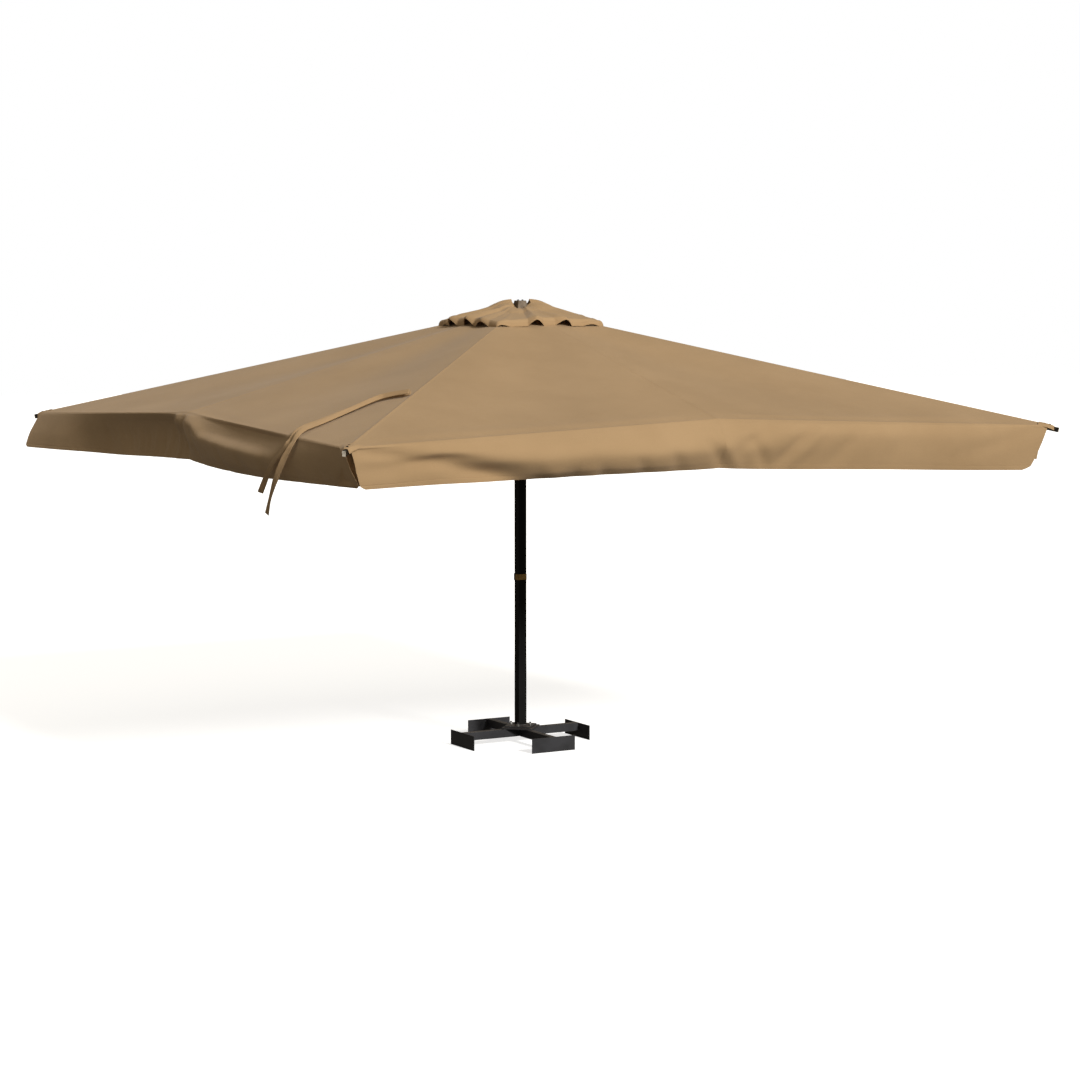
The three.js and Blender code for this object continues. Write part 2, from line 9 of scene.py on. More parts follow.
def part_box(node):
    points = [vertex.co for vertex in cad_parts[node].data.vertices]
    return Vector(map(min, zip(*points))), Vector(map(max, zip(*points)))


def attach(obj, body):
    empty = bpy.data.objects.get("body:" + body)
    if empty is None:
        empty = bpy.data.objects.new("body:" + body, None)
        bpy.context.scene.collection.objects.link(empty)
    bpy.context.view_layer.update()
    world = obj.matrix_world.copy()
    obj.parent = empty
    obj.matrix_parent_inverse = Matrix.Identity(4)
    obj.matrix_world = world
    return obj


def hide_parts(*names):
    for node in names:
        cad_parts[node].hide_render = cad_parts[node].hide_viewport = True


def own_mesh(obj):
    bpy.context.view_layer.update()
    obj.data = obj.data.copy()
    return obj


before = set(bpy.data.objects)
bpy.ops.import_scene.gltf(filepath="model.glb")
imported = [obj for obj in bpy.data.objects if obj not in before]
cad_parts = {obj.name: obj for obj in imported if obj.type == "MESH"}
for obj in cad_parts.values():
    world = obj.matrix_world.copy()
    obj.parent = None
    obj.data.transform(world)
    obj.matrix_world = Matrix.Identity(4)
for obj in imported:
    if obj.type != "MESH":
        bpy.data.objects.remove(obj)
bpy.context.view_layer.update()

# Camera. It stands about eighteen metres off, a little above the roof of the umbrella, and
# looks at the near corner of the canopy with a long lens.
camera_data = bpy.data.cameras.new("camera")
camera_data.sensor_width = 36.0
camera_data.lens = 88.7
camera_data.clip_end = 200.0
camera = bpy.data.objects.new("camera", camera_data)
camera.location = (-8.81, -15.65, 3.06)
camera_yaw, camera_pitch = math.radians(29.8), math.radians(-5.33)
looking = Vector((
    math.sin(camera_yaw) * math.cos(camera_pitch),
    math.cos(camera_yaw) * math.cos(camera_pitch),
    math.sin(camera_pitch),
))
camera.rotation_euler = looking.to_track_quat("-Z", "Y").to_euler()
bpy.context.scene.collection.objects.link(camera)
bpy.context.scene.camera = camera

# Studio. A plain pale floor under a white surround that lights the shaded sides warmly, with
# one low soft sun from the front as the key.
bpy.context.scene.view_settings.view_transform = "Standard"
bpy.context.scene.view_settings.look = "None"
surround = bpy.data.worlds.new("surround")
surround.use_nodes = True
bpy.context.scene.world = surround
air = surround.node_tree.nodes
background = air["Background"]
tint = air.new("ShaderNodeMix")
tint.data_type = "RGBA"
tint.inputs["A"].default_value = (1.0, 0.93, 0.80, 1.0)
tint.inputs["B"].default_value = (1.0, 1.0, 1.0, 1.0)
facing = air.new("ShaderNodeTexCoord")
upness = air.new("ShaderNodeSeparateXYZ")
overhead = air.new("ShaderNodeMapRange")
overhead.inputs["From Min"].default_value = -0.1
overhead.inputs["From Max"].default_value = 0.9
overhead.inputs["To Min"].default_value = 0.23
overhead.inputs["To Max"].default_value = 0.38
seen = air.new("ShaderNodeLightPath")
brightness = air.new("ShaderNodeMix")
brightness.inputs["B"].default_value = 1.0
surround.node_tree.links.new(facing.outputs["Generated"], upness.inputs[0])
surround.node_tree.links.new(upness.outputs["Z"], overhead.inputs["Value"])
surround.node_tree.links.new(overhead.outputs[0], brightness.inputs["A"])
surround.node_tree.links.new(seen.outputs["Is Camera Ray"], brightness.inputs["Factor"])
surround.node_tree.links.new(brightness.outputs["Result"], background.inputs["Strength"])
surround.node_tree.links.new(seen.outputs["Is Camera Ray"], tint.inputs["Factor"])
surround.node_tree.links.new(tint.outputs["Result"], background.inputs["Color"])

key_data = bpy.data.lights.new("key", "SUN")
key_data.energy = 3.0
key_data.angle = math.radians(12)
key_data.color = (1.0, 0.98, 0.95)
key = bpy.data.objects.new("key", key_data)
key.rotation_euler = Vector((-0.12, 0.86, -0.47)).to_track_quat("-Z", "Y").to_euler()
bpy.context.scene.collection.objects.link(key)

floor_mesh = bmesh.new()
bmesh.ops.create_grid(floor_mesh, x_segments=1, y_segments=1, size=60.0)
floor_data = bpy.data.meshes.new("floor")
floor_mesh.to_mesh(floor_data)
floor_mesh.free()
floor = bpy.data.objects.new("floor", floor_data)
floor_paint = bpy.data.materials.new("floor_paint")
floor_paint.use_nodes = True
floor_nodes = floor_paint.node_tree.nodes
paint = floor_nodes["Principled BSDF"]
paint.inputs["Roughness"].default_value = 0.9
paint.inputs["Emission Color"].default_value = (1.0, 1.0, 1.0, 1.0)
floor_seen = floor_nodes.new("ShaderNodeLightPath")
floor_glow = floor_nodes.new("ShaderNodeMath")
floor_glow.operation = "MULTIPLY"
floor_glow.inputs[1].default_value = 0.72
floor_tone = floor_nodes.new("ShaderNodeMix")
floor_tone.data_type = "RGBA"
floor_tone.inputs["A"].default_value = (0.16, 0.15, 0.14, 1.0)
floor_tone.inputs["B"].default_value = (0.92, 0.92, 0.91, 1.0)
floor_paint.node_tree.links.new(floor_seen.outputs["Is Camera Ray"], floor_glow.inputs[0])
floor_paint.node_tree.links.new(floor_glow.outputs[0], paint.inputs["Emission Strength"])
floor_paint.node_tree.links.new(floor_seen.outputs["Is Camera Ray"], floor_tone.inputs["Factor"])
floor_paint.node_tree.links.new(floor_tone.outputs["Result"], paint.inputs["Base Color"])
floor_data.materials.append(floor_paint)
bpy.context.scene.collection.objects.link(floor)

# Base. Four box-section steel arms welded into a cross between upright foot plates, with a
# plate on top that takes the mast's flange on four studs. All of it is powder-coated black.
ARM_REACH, ARM_HALF_W, ARM_LOW, ARM_HIGH = 0.4457, 0.020, 0.045, 0.100
STUD_AT, FLANGE_TOP = 0.068, 0.1206
NUT_ACROSS, NUT_HEIGHT, WASHER_RADIUS, WASHER_HEIGHT = 0.019, 0.010, 0.0125, 0.0025
STEEL_LIGHT, STEEL_DEEP = (0.0330, 0.0333, 0.0380, 1.0), (0.0175, 0.0175, 0.0200, 1.0)
RUBBED_STEEL, DUST = (0.105, 0.098, 0.090, 1.0), (0.170, 0.132, 0.094, 1.0)


def fed(tree, socket, value):
    """Links another node's output into a socket, or sets the socket to a constant."""
    if isinstance(value, bpy.types.NodeSocket):
        tree.links.new(value, socket)
    else:
        socket.default_value = value


def calc(tree, operation, *values):
    node = tree.nodes.new("ShaderNodeMath")
    node.operation = operation
    for socket, value in zip(node.inputs, values):
        fed(tree, socket, value)
    return node.outputs[0]


def ranged(tree, value, low=0.0, high=1.0, to_low=0.0, to_high=1.0):
    node = tree.nodes.new("ShaderNodeMapRange")
    for name, given in (
        ("Value", value), ("From Min", low), ("From Max", high), ("To Min", to_low), ("To Max", to_high),
    ):
        fed(tree, node.inputs[name], given)
    return node.outputs[0]


def mixed(tree, factor, a, b, blend="MIX"):
    node = tree.nodes.new("ShaderNodeMix")
    node.data_type = "RGBA"
    node.blend_type = blend
    for name, given in (("Factor", factor), ("A", a), ("B", b)):
        fed(tree, node.inputs[name], given)
    return node.outputs["Result"]


def noise(tree, vector, scale, detail):
    node = tree.nodes.new("ShaderNodeTexNoise")
    for name, given in (("Vector", vector), ("Scale", scale), ("Detail", detail)):
        fed(tree, node.inputs[name], given)
    return node


def relief(tree, height, distance, strength=1.0):
    node = tree.nodes.new("ShaderNodeBump")
    for name, given in (("Height", height), ("Distance", distance), ("Strength", strength)):
        fed(tree, node.inputs[name], given)
    return node.outputs[0]


def effect_group(name, inputs, outputs):
    """A node group with these sockets: the group, what comes in, and what goes out."""
    group = bpy.data.node_groups.new(name, "ShaderNodeTree")
    for in_out, sockets in (("INPUT", inputs), ("OUTPUT", outputs)):
        for label, kind in sockets:
            group.interface.new_socket(label, in_out=in_out, socket_type="NodeSocket" + kind)
    return group, group.nodes.new("NodeGroupInput").outputs, group.nodes.new("NodeGroupOutput").inputs


def surface_effect():
    """Grain, broad patches, rubbed corners on square-cut pieces, and dust on level faces."""
    group, given, result = effect_group(
        "surface_detail",
        (("Vector", "Vector"), ("Facing", "Vector"), ("Grain Scale", "Float"), ("Patch Scale", "Float")),
        (("Grain", "Float"), ("Patches", "Float"), ("Rubbed", "Float"), ("Dust", "Float")),
    )
    link = group.links.new
    link(noise(group, given["Vector"], given["Grain Scale"], 3.0).outputs["Fac"], result["Grain"])
    patches = ranged(group, noise(group, given["Vector"], given["Patch Scale"], 5.0).outputs["Fac"], 0.36, 0.64)
    link(patches, result["Patches"])
    size = group.nodes.new("ShaderNodeVectorMath")
    size.operation = "ABSOLUTE"
    link(given["Facing"], size.inputs[0])
    square = None
    for way in ((1, 0, 0), (0, 1, 0), (0, 0, 1), (0.7071, 0.7071, 0)):
        along = group.nodes.new("ShaderNodeVectorMath")
        along.operation = "DOT_PRODUCT"
        along.inputs[1].default_value = way
        link(size.outputs[0], along.inputs[0])
        value = along.outputs["Value"]
        square = value if square is None else calc(group, "MAXIMUM", square, value)
    link(calc(group, "MULTIPLY", ranged(group, square, 0.985, 0.93), patches), result["Rubbed"])
    facing = group.nodes.new("ShaderNodeSeparateXYZ")
    link(given["Facing"], facing.inputs[0])
    level = ranged(group, facing.outputs["Z"], 0.55, 1.0)
    link(calc(group, "MULTIPLY", level, ranged(group, patches, to_low=0.35)), result["Dust"])
    return group


surface_group = surface_effect()


def hard_material(name, light, deep, rough, grain, patch, rubbed=0.0, dust=0.0, metal=0.0, height=0.00005):
    """A hard finish: patchy colour, rubbed corners, dust, and a grain in gloss and relief."""
    material = bpy.data.materials.new(name)
    material.use_nodes = True
    tree = material.node_tree
    skin = tree.nodes["Principled BSDF"].inputs
    place = tree.nodes.new("ShaderNodeTexCoord").outputs
    detail = tree.nodes.new("ShaderNodeGroup")
    detail.node_tree = surface_group
    for socket, value in (
        ("Grain Scale", grain), ("Patch Scale", patch), ("Vector", place["Object"]), ("Facing", place["Normal"]),
    ):
        fed(tree, detail.inputs[socket], value)
    colour = mixed(tree, detail.outputs["Patches"], deep, light)
    for mask, amount, over in (("Rubbed", rubbed, RUBBED_STEEL), ("Dust", dust, DUST)):
        colour = mixed(tree, calc(tree, "MULTIPLY", detail.outputs[mask], amount), colour, over)
    fed(tree, skin["Base Color"], colour)
    fed(tree, skin["Roughness"], ranged(tree, detail.outputs["Grain"], 0.3, 0.7, *rough))
    fed(tree, skin["Normal"], relief(tree, detail.outputs["Grain"], height))
    skin["Metallic"].default_value = metal
    return material


def finish_packed(names, material, ease):
    """The finish of pieces that stay as they were packed, with their edges eased."""
    for name in names:
        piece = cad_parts[name]
        for place in piece.material_slots:
            place.material = material
        weld = piece.modifiers.new("weld", "WELD")
        weld.merge_threshold = 0.00002
        eased = piece.modifiers.new("eased edges", "BEVEL")
        eased.width = ease
        eased.segments = 2
        eased.limit_method = "ANGLE"
        eased.angle_limit = math.radians(35)
        eased.harden_normals = True


def placed(name, bm):
    """The bmesh as an object of the scene."""
    mesh = bpy.data.meshes.new(name)
    bm.to_mesh(mesh)
    bm.free()
    piece = bpy.data.objects.new(name, mesh)
    bpy.context.scene.collection.objects.link(piece)
    return piece


def finished(name, bm, material, body, sharp=35.0):
    """Closes a bmesh into a piece with its finish, riding on a body."""
    bmesh.ops.recalc_face_normals(bm, faces=bm.faces)
    for face in bm.faces:
        face.smooth = True
    for edge in bm.edges:
        edge.smooth = len(edge.link_faces) == 2 and edge.calc_face_angle(0.0) < math.radians(sharp)
    piece = placed(name, bm)
    piece.data.materials.append(material)
    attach(piece, body)
    return piece


def weld_bead(bm, corners, radius):
    """A rippled bead round a closed run of straight stretches."""
    places = []
    for a, b in zip(corners, corners[1:] + corners[:1]):
        steps = max(2, round((b - a).length / 0.0024))
        places += [a.lerp(b, k / steps) for k in range(steps)]
    rings = len(places)
    normal = (corners[1] - corners[0]).cross(corners[2] - corners[1]).normalized()
    grid = bmesh.ops.create_grid(bm, x_segments=8, y_segments=rings, size=1.0)
    for vert in grid["verts"]:
        turn = (vert.co.x + 1) * math.pi
        k = round((vert.co.y + 1) / 2 * rings) % rings
        ahead = (places[(k + 1) % rings] - places[k - 1]).normalized()
        size = radius * (1 + 0.17 * math.sin(k * 2.2) + 0.06 * math.sin(k * 0.31))
        vert.co = places[k] + (ahead.cross(normal) * math.cos(turn) + normal * math.sin(turn)) * size
    bmesh.ops.remove_doubles(bm, verts=grid["verts"], dist=1e-6)


powder_coat = hard_material(
    "powder_coat", STEEL_LIGHT, STEEL_DEEP, (0.44, 0.60), 1400.0, 7.0, rubbed=0.55, dust=0.42,
)
finish_packed(
    ["cross_arm_long", "cross_arm_back", "cross_arm_front", "base_plate", "mast_flange"]
    + ["foot_plate_" + side for side in ("right", "back", "left", "front")],
    powder_coat, 0.0012,
)

beads = bmesh.new()
for quarter in range(4):
    about = Matrix.Rotation(quarter * math.pi / 2, 3, "Z")
    run = [
        (ARM_REACH, -ARM_HALF_W, ARM_LOW), (ARM_REACH, ARM_HALF_W, ARM_LOW),
        (ARM_REACH, ARM_HALF_W, ARM_HIGH - 0.002), (ARM_REACH, -ARM_HALF_W, ARM_HIGH - 0.002),
    ]
    weld_bead(beads, [about @ Vector(corner) for corner in run], 0.0032)
mast_foot = [Vector((x, y, FLANGE_TOP + 0.001)) for x, y in ((-1, -1), (1, -1), (1, 1), (-1, 1))]
weld_bead(beads, [Vector((c.x * 0.0305, c.y * 0.0305, c.z)) for c in mast_foot], 0.0036)
finished("weld_beads", beads, powder_coat, "stand", sharp=80.0)

zinc = hard_material("zinc", (0.46, 0.46, 0.44, 1.0), (0.30, 0.30, 0.29, 1.0), (0.30, 0.48), 700.0, 40.0, metal=1.0)
nuts = bmesh.new()
for quarter in range(4):
    angle = math.pi / 4 + quarter * math.pi / 2
    spot = Matrix.Translation((STUD_AT * math.cos(angle), STUD_AT * math.sin(angle), FLANGE_TOP + 0.0002))
    washer = bmesh.ops.create_cone(
        nuts, cap_ends=True, segments=28, radius1=WASHER_RADIUS, radius2=WASHER_RADIUS, depth=WASHER_HEIGHT,
        matrix=spot @ Matrix.Translation((0, 0, WASHER_HEIGHT / 2)),
    )
    nut = bmesh.ops.create_cone(
        nuts, cap_ends=True, segments=6, radius1=NUT_ACROSS / math.sqrt(3), radius2=NUT_ACROSS / math.sqrt(3),
        depth=NUT_HEIGHT, matrix=spot @ Matrix.Translation((0, 0, WASHER_HEIGHT + NUT_HEIGHT / 2))
        @ Matrix.Rotation(0.4 * quarter, 4, "Z"),
    )
    for made, ease in ((washer, 0.0005), (nut, 0.0011)):
        rims = {e for v in made["verts"] for e in v.link_edges if abs(e.verts[0].co.z - e.verts[1].co.z) < 1e-6}
        bmesh.ops.bevel(nuts, geom=list(rims), offset=ease, segments=2, profile=0.5, material=-1, affect="EDGES")
finished("stud_nuts", nuts, zinc, "stand")

# Mast. A square steel tube welded to the flange, powder-coated black, with an anodised
# tube that slides in it, a plastic guide bush on top and a knob that clamps the slide.
# The mast's coat is the base's black powder coat painted several times darker, as painted shade from the canopy above
# it; the corner eyelets take the same darkened black.
shade_darkened_black = hard_material(
    "shade_darkened_black", (0.0052, 0.0050, 0.0050, 1.0), (0.0030, 0.0029, 0.0029, 1.0), (0.56, 0.72), 1400.0, 5.0,
    rubbed=0.12, dust=0.10,
)
shade_darkened_black.node_tree.nodes["Principled BSDF"].inputs["Specular IOR Level"].default_value = 0.16
anodised = hard_material(
    "anodised", (0.050, 0.045, 0.040, 1.0), (0.032, 0.029, 0.026, 1.0), (0.36, 0.50), 1100.0, 4.0, metal=0.85,
)
moulded = hard_material(
    "moulded_black", (0.020, 0.020, 0.021, 1.0), (0.013, 0.013, 0.014, 1.0), (0.48, 0.66), 1600.0, 12.0,
    rubbed=0.10, height=0.00009,
)
finish_packed(["outer_mast"], shade_darkened_black, 0.0012)
finish_packed(["inner_mast"], anodised, 0.0010)
finish_packed(["guide_bush", "clamp_knob"], moulded, 0.0010)

# Mast strap. Brown webbing pulled tight round the mast, its end lapped on the left side and
# held by a slider, to tie the closed canopy with.
STRAP_LOW, STRAP_HIGH = 1.116, 1.154
STRAP_HALF, STRAP_THICK = 0.0306, 0.0021


def webbing_material():
    """Ribbed webbing: cords run along it and a rib stands across it."""
    material = bpy.data.materials.new("webbing")
    material.use_nodes = True
    tree = material.node_tree
    tape = tree.nodes["Principled BSDF"].inputs
    place = tree.nodes.new("ShaderNodeTexCoord").outputs["Object"]
    apart = tree.nodes.new("ShaderNodeSeparateXYZ")
    tree.links.new(place, apart.inputs[0])
    round_mast = calc(tree, "ADD", apart.outputs["X"], apart.outputs["Y"])
    cords, ribs = [
        calc(tree, "SINE", calc(tree, "MULTIPLY", source, 2 * math.pi / pitch))
        for source, pitch in ((round_mast, 0.0021), (apart.outputs["Z"], 0.0032))
    ]
    ridges = calc(tree, "MULTIPLY", cords, ribs)
    uneven = calc(tree, "MULTIPLY_ADD", ridges, 0.22, noise(tree, place, 240.0, 4.0).outputs["Fac"])
    fed(tree, tape["Base Color"], mixed(tree, uneven, (0.340, 0.200, 0.046, 1.0), (0.520, 0.320, 0.094, 1.0)))
    fed(tree, tape["Roughness"], ranged(tree, uneven, to_low=0.92, to_high=0.72))
    fed(tree, tape["Normal"], relief(tree, ridges, 0.0004))
    return material


webbing = webbing_material()
band = bmesh.new()
bmesh.ops.create_cone(
    band, cap_ends=False, segments=4, radius1=STRAP_HALF * math.sqrt(2), radius2=STRAP_HALF * math.sqrt(2),
    depth=STRAP_HIGH - STRAP_LOW,
    matrix=Matrix.Translation((0, 0, (STRAP_LOW + STRAP_HIGH) / 2)) @ Matrix.Rotation(math.pi / 4, 4, "Z"),
)
uprights = [e for e in band.edges if abs(e.verts[0].co.z - e.verts[1].co.z) > 0.01]
bmesh.ops.bevel(band, geom=uprights, offset=0.004, segments=5, profile=0.5, material=-1, affect="EDGES")
levels = [e for e in band.edges if abs(e.verts[0].co.z - e.verts[1].co.z) > 0.01]
bmesh.ops.subdivide_edges(band, edges=levels, cuts=7, use_grid_fill=True)
long_ways = [e for e in band.edges if e.calc_length() > 0.02]
bmesh.ops.subdivide_edges(band, edges=long_ways, cuts=11, use_grid_fill=True)
lap = bmesh.ops.create_grid(
    band, x_segments=20, y_segments=8, size=0.5,
    matrix=Matrix.Translation((0.003, -STRAP_HALF - STRAP_THICK - 0.0004, (STRAP_LOW + STRAP_HIGH) / 2 - 0.0010))
    @ Matrix.Rotation(math.pi / 2, 4, "X") @ Matrix.Diagonal((0.052, STRAP_HIGH - STRAP_LOW - 0.001, 1, 1)),
)
for vert in lap["verts"]:
    vert.co.y -= 0.0014 * max(0.0, (vert.co.x - 0.018) / 0.011) ** 2
to_left = Matrix.Rotation(-math.pi / 2, 4, "Z")
bmesh.ops.transform(band, matrix=to_left, verts=lap["verts"])
for vert in band.verts:
    vert.co += Vector((vert.co.x, vert.co.y, 0)) * 0.006 * math.sin(vert.co.x * 90 + vert.co.y * 70 + vert.co.z * 120)
strap = finished("mast_tie_strap", band, webbing, "stand", sharp=180.0)
outward = bmesh.new()
outward.from_mesh(strap.data)
inward_faces = [f for f in outward.faces if f.normal.dot(f.calc_center_median() * Vector((1, 1, 0))) < 0]
bmesh.ops.reverse_faces(outward, faces=inward_faces)
outward.to_mesh(strap.data)
outward.free()
strap_wall = strap.modifiers.new("thickness", "SOLIDIFY")
strap_wall.thickness = STRAP_THICK
strap_wall.offset = 1.0
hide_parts("mast_strap")

slider = bmesh.new()
bmesh.ops.create_grid(
    slider, x_segments=3, y_segments=3, size=0.5,
    matrix=Matrix.Translation((-0.019, -STRAP_HALF - 2 * STRAP_THICK - 0.0010, (STRAP_LOW + STRAP_HIGH) / 2))
    @ Matrix.Rotation(math.pi / 2, 4, "X") @ Matrix.Diagonal((0.018, 0.046, 1, 1)),
)
window = [f for f in slider.faces if abs(f.calc_center_median().x + 0.019) < 0.003]
window = [f for f in window if abs(f.calc_center_median().z - (STRAP_LOW + STRAP_HIGH) / 2) < 0.008]
bmesh.ops.inset_individual(slider, faces=window, thickness=0.0008, depth=-0.0006)
bmesh.ops.solidify(slider, geom=slider.faces[:], thickness=0.0022)
bmesh.ops.transform(slider, matrix=to_left, verts=slider.verts[:])
slider_rims = [e for e in slider.edges if e.calc_face_angle(0.0) > math.radians(60)]
bmesh.ops.bevel(slider, geom=slider_rims, offset=0.0005, segments=2, profile=0.5, material=-1, affect="EDGES")
finished("strap_slider", slider, moulded, "stand")

# Hubs and crown. Glass-filled nylon mouldings, slotted for eight arms that hinge on a bent
# zinc wire ring, with an anodised plate over the crown and a tapered block screwed to it.
bronze = hard_material(
    "bronze_block", (0.205, 0.152, 0.098, 1.0), (0.120, 0.084, 0.050, 1.0), (0.50, 0.70), 900.0, 34.0, height=0.00008,
)
finish_packed(["strut_hub", "crown"], moulded, 0.0009)
finish_packed(["strut_hinge_ring", "rib_hinge_ring"], zinc, 0.0004)
finish_packed(["crown_plate"], anodised, 0.0008)
finish_packed(["top_cap"], bronze, 0.0030)

block_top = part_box("top_cap")[1].z
block_screws = bmesh.new()
for x in (-0.0165, 0.0165):
    standing = Matrix.Translation((x, 0, block_top))
    bmesh.ops.create_cone(
        block_screws, cap_ends=True, segments=24, radius1=0.0080, radius2=0.0076, depth=0.0012,
        matrix=standing @ Matrix.Translation((0, 0, 0.0006)),
    )
    head = bmesh.ops.create_cone(
        block_screws, cap_ends=True, segments=24, radius1=0.0060, radius2=0.0058, depth=0.0052,
        matrix=standing @ Matrix.Translation((0, 0, 0.0042)),
    )
    crown_face = max({f for v in head["verts"] for f in v.link_faces}, key=lambda f: f.calc_center_median().z)
    bmesh.ops.inset_individual(block_screws, faces=[crown_face], thickness=0.0026)
    bmesh.ops.translate(block_screws, verts=crown_face.verts[:], vec=(0, 0, -0.0030))
finished("block_screws", block_screws, moulded, "mast_head")

# Ribs and struts. Eight anodised box-section ribs hang on the crown's ring, each held up by
# a forked strut of two flat bars. A grey plastic plug closes the open end of every rib.
DIRECTIONS = ["right", "back_right", "back", "back_left", "left", "front_left", "front", "front_right"]
HINGE = (0.075, 2.912)
RIB_END = {"side": (2.386, 2.398, 2.305), "corner": (3.5755, 3.5355, 2.208)}
finish_packed(["rib_" + direction for direction in DIRECTIONS], anodised, 0.0014)
finish_packed(["strut_" + direction for direction in DIRECTIONS], anodised, 0.0009)
grey_plug = hard_material(
    "grey_plug", (0.66, 0.60, 0.50, 1.0), (0.50, 0.45, 0.37, 1.0), (0.46, 0.62), 1500.0, 60.0, height=0.00006,
)
for index, direction in enumerate(DIRECTIONS):
    end_out, cloth_out, cloth_z = RIB_END["corner" if "_" in direction else "side"]
    fall = math.atan2(HINGE[1] - (cloth_z - 0.0204), cloth_out - HINGE[0])
    length = (end_out - HINGE[0]) / math.cos(fall)
    seat = (
        Matrix.Rotation(index * math.pi / 4, 4, "Z") @ Matrix.Translation((HINGE[0], 0, HINGE[1]))
        @ Matrix.Rotation(fall, 4, "Y") @ Matrix.Translation((length + 0.0017, 0, 0))
    )
    plug = bmesh.new()
    bmesh.ops.create_cube(plug, size=1.0, matrix=Matrix.Diagonal((0.0030, 0.0200, 0.0300, 1)))
    faces = sorted(plug.faces, key=lambda f: f.calc_center_median().x)
    inner, outer = faces[0], faces[-1]
    bmesh.ops.inset_individual(plug, faces=[inner], thickness=0.0023)
    stalk = bmesh.ops.extrude_discrete_faces(plug, faces=[inner])["faces"]
    bmesh.ops.translate(plug, verts=stalk[0].verts[:], vec=(-0.014, 0, 0))
    bmesh.ops.inset_individual(plug, faces=[outer], thickness=0.0030)
    bmesh.ops.translate(plug, verts=outer.verts[:], vec=(-0.0010, 0, 0))
    rims = [e for e in plug.edges if e.calc_face_angle(0.0) > math.radians(50)]
    bmesh.ops.bevel(plug, geom=rims, offset=0.0006, segments=2, profile=0.5, material=-1, affect="EDGES")
    bmesh.ops.transform(plug, matrix=seat, verts=plug.verts[:])
    finished("rib_plug_" + direction, plug, grey_plug, "arm_" + direction)

# Canopy cloth. Woven acrylic canvas, piece-dyed beige, cut in panels that are lapped and
# stitched over the ribs, with a valance sewn on at the eave and a turned hem.
SIDE_REACH, SIDE_Z = 2.398, 2.305
CORNER_REACH, CORNER_Z = 2.5, 2.208
APEX_Z = 2.951
VENT_HALF = 0.280
SAG = 0.034
MEETING = math.tan(math.radians(22.5))
EAVE_BOW = (CORNER_REACH - SIDE_REACH) / CORNER_REACH
EAVE_FALL = (SIDE_Z - CORNER_Z) / CORNER_REACH

CLOTH_LIT = (0.452, 0.300, 0.158, 1.0)
CLOTH_DEEP = (0.400, 0.262, 0.134, 1.0)
THREADS = 3600.0


def weave_effect():
    """Plain weave over the UV map in metres: a colour mask and a height."""
    group, given, result = effect_group(
        "weave", (("Vector", "Vector"), ("Threads", "Float")), (("Shade", "Float"), ("Height", "Float")),
    )
    link = group.links.new
    scaled = group.nodes.new("ShaderNodeVectorMath")
    scaled.operation = "SCALE"
    link(given["Vector"], scaled.inputs[0])
    link(given["Threads"], scaled.inputs["Scale"])
    split = group.nodes.new("ShaderNodeSeparateXYZ")
    link(scaled.outputs[0], split.inputs[0])
    crossing = calc(group, "MULTIPLY", *[calc(group, "SINE", split.outputs[axis]) for axis in ("X", "Y")])
    height = ranged(group, crossing, low=-1.0)
    link(calc(group, "MULTIPLY", height, noise(group, given["Vector"], 90.0, 4.0).outputs["Fac"]), result["Shade"])
    link(height, result["Height"])
    return group


def line_effect():
    """A soft line where a measured distance is near a given value, 1 on the line."""
    group, given, result = effect_group(
        "sewn_line", (("Distance", "Float"), ("Place", "Float"), ("Width", "Float")), (("Line", "Float"),),
    )
    away = calc(group, "ABSOLUTE", calc(group, "SUBTRACT", given["Distance"], given["Place"]))
    line = ranged(group, away, high=given["Width"], to_low=1.0, to_high=0.0)
    line.node.interpolation_type = "SMOOTHSTEP"
    group.links.new(line, result["Line"])
    return group


weave_group = weave_effect()
line_group = line_effect()


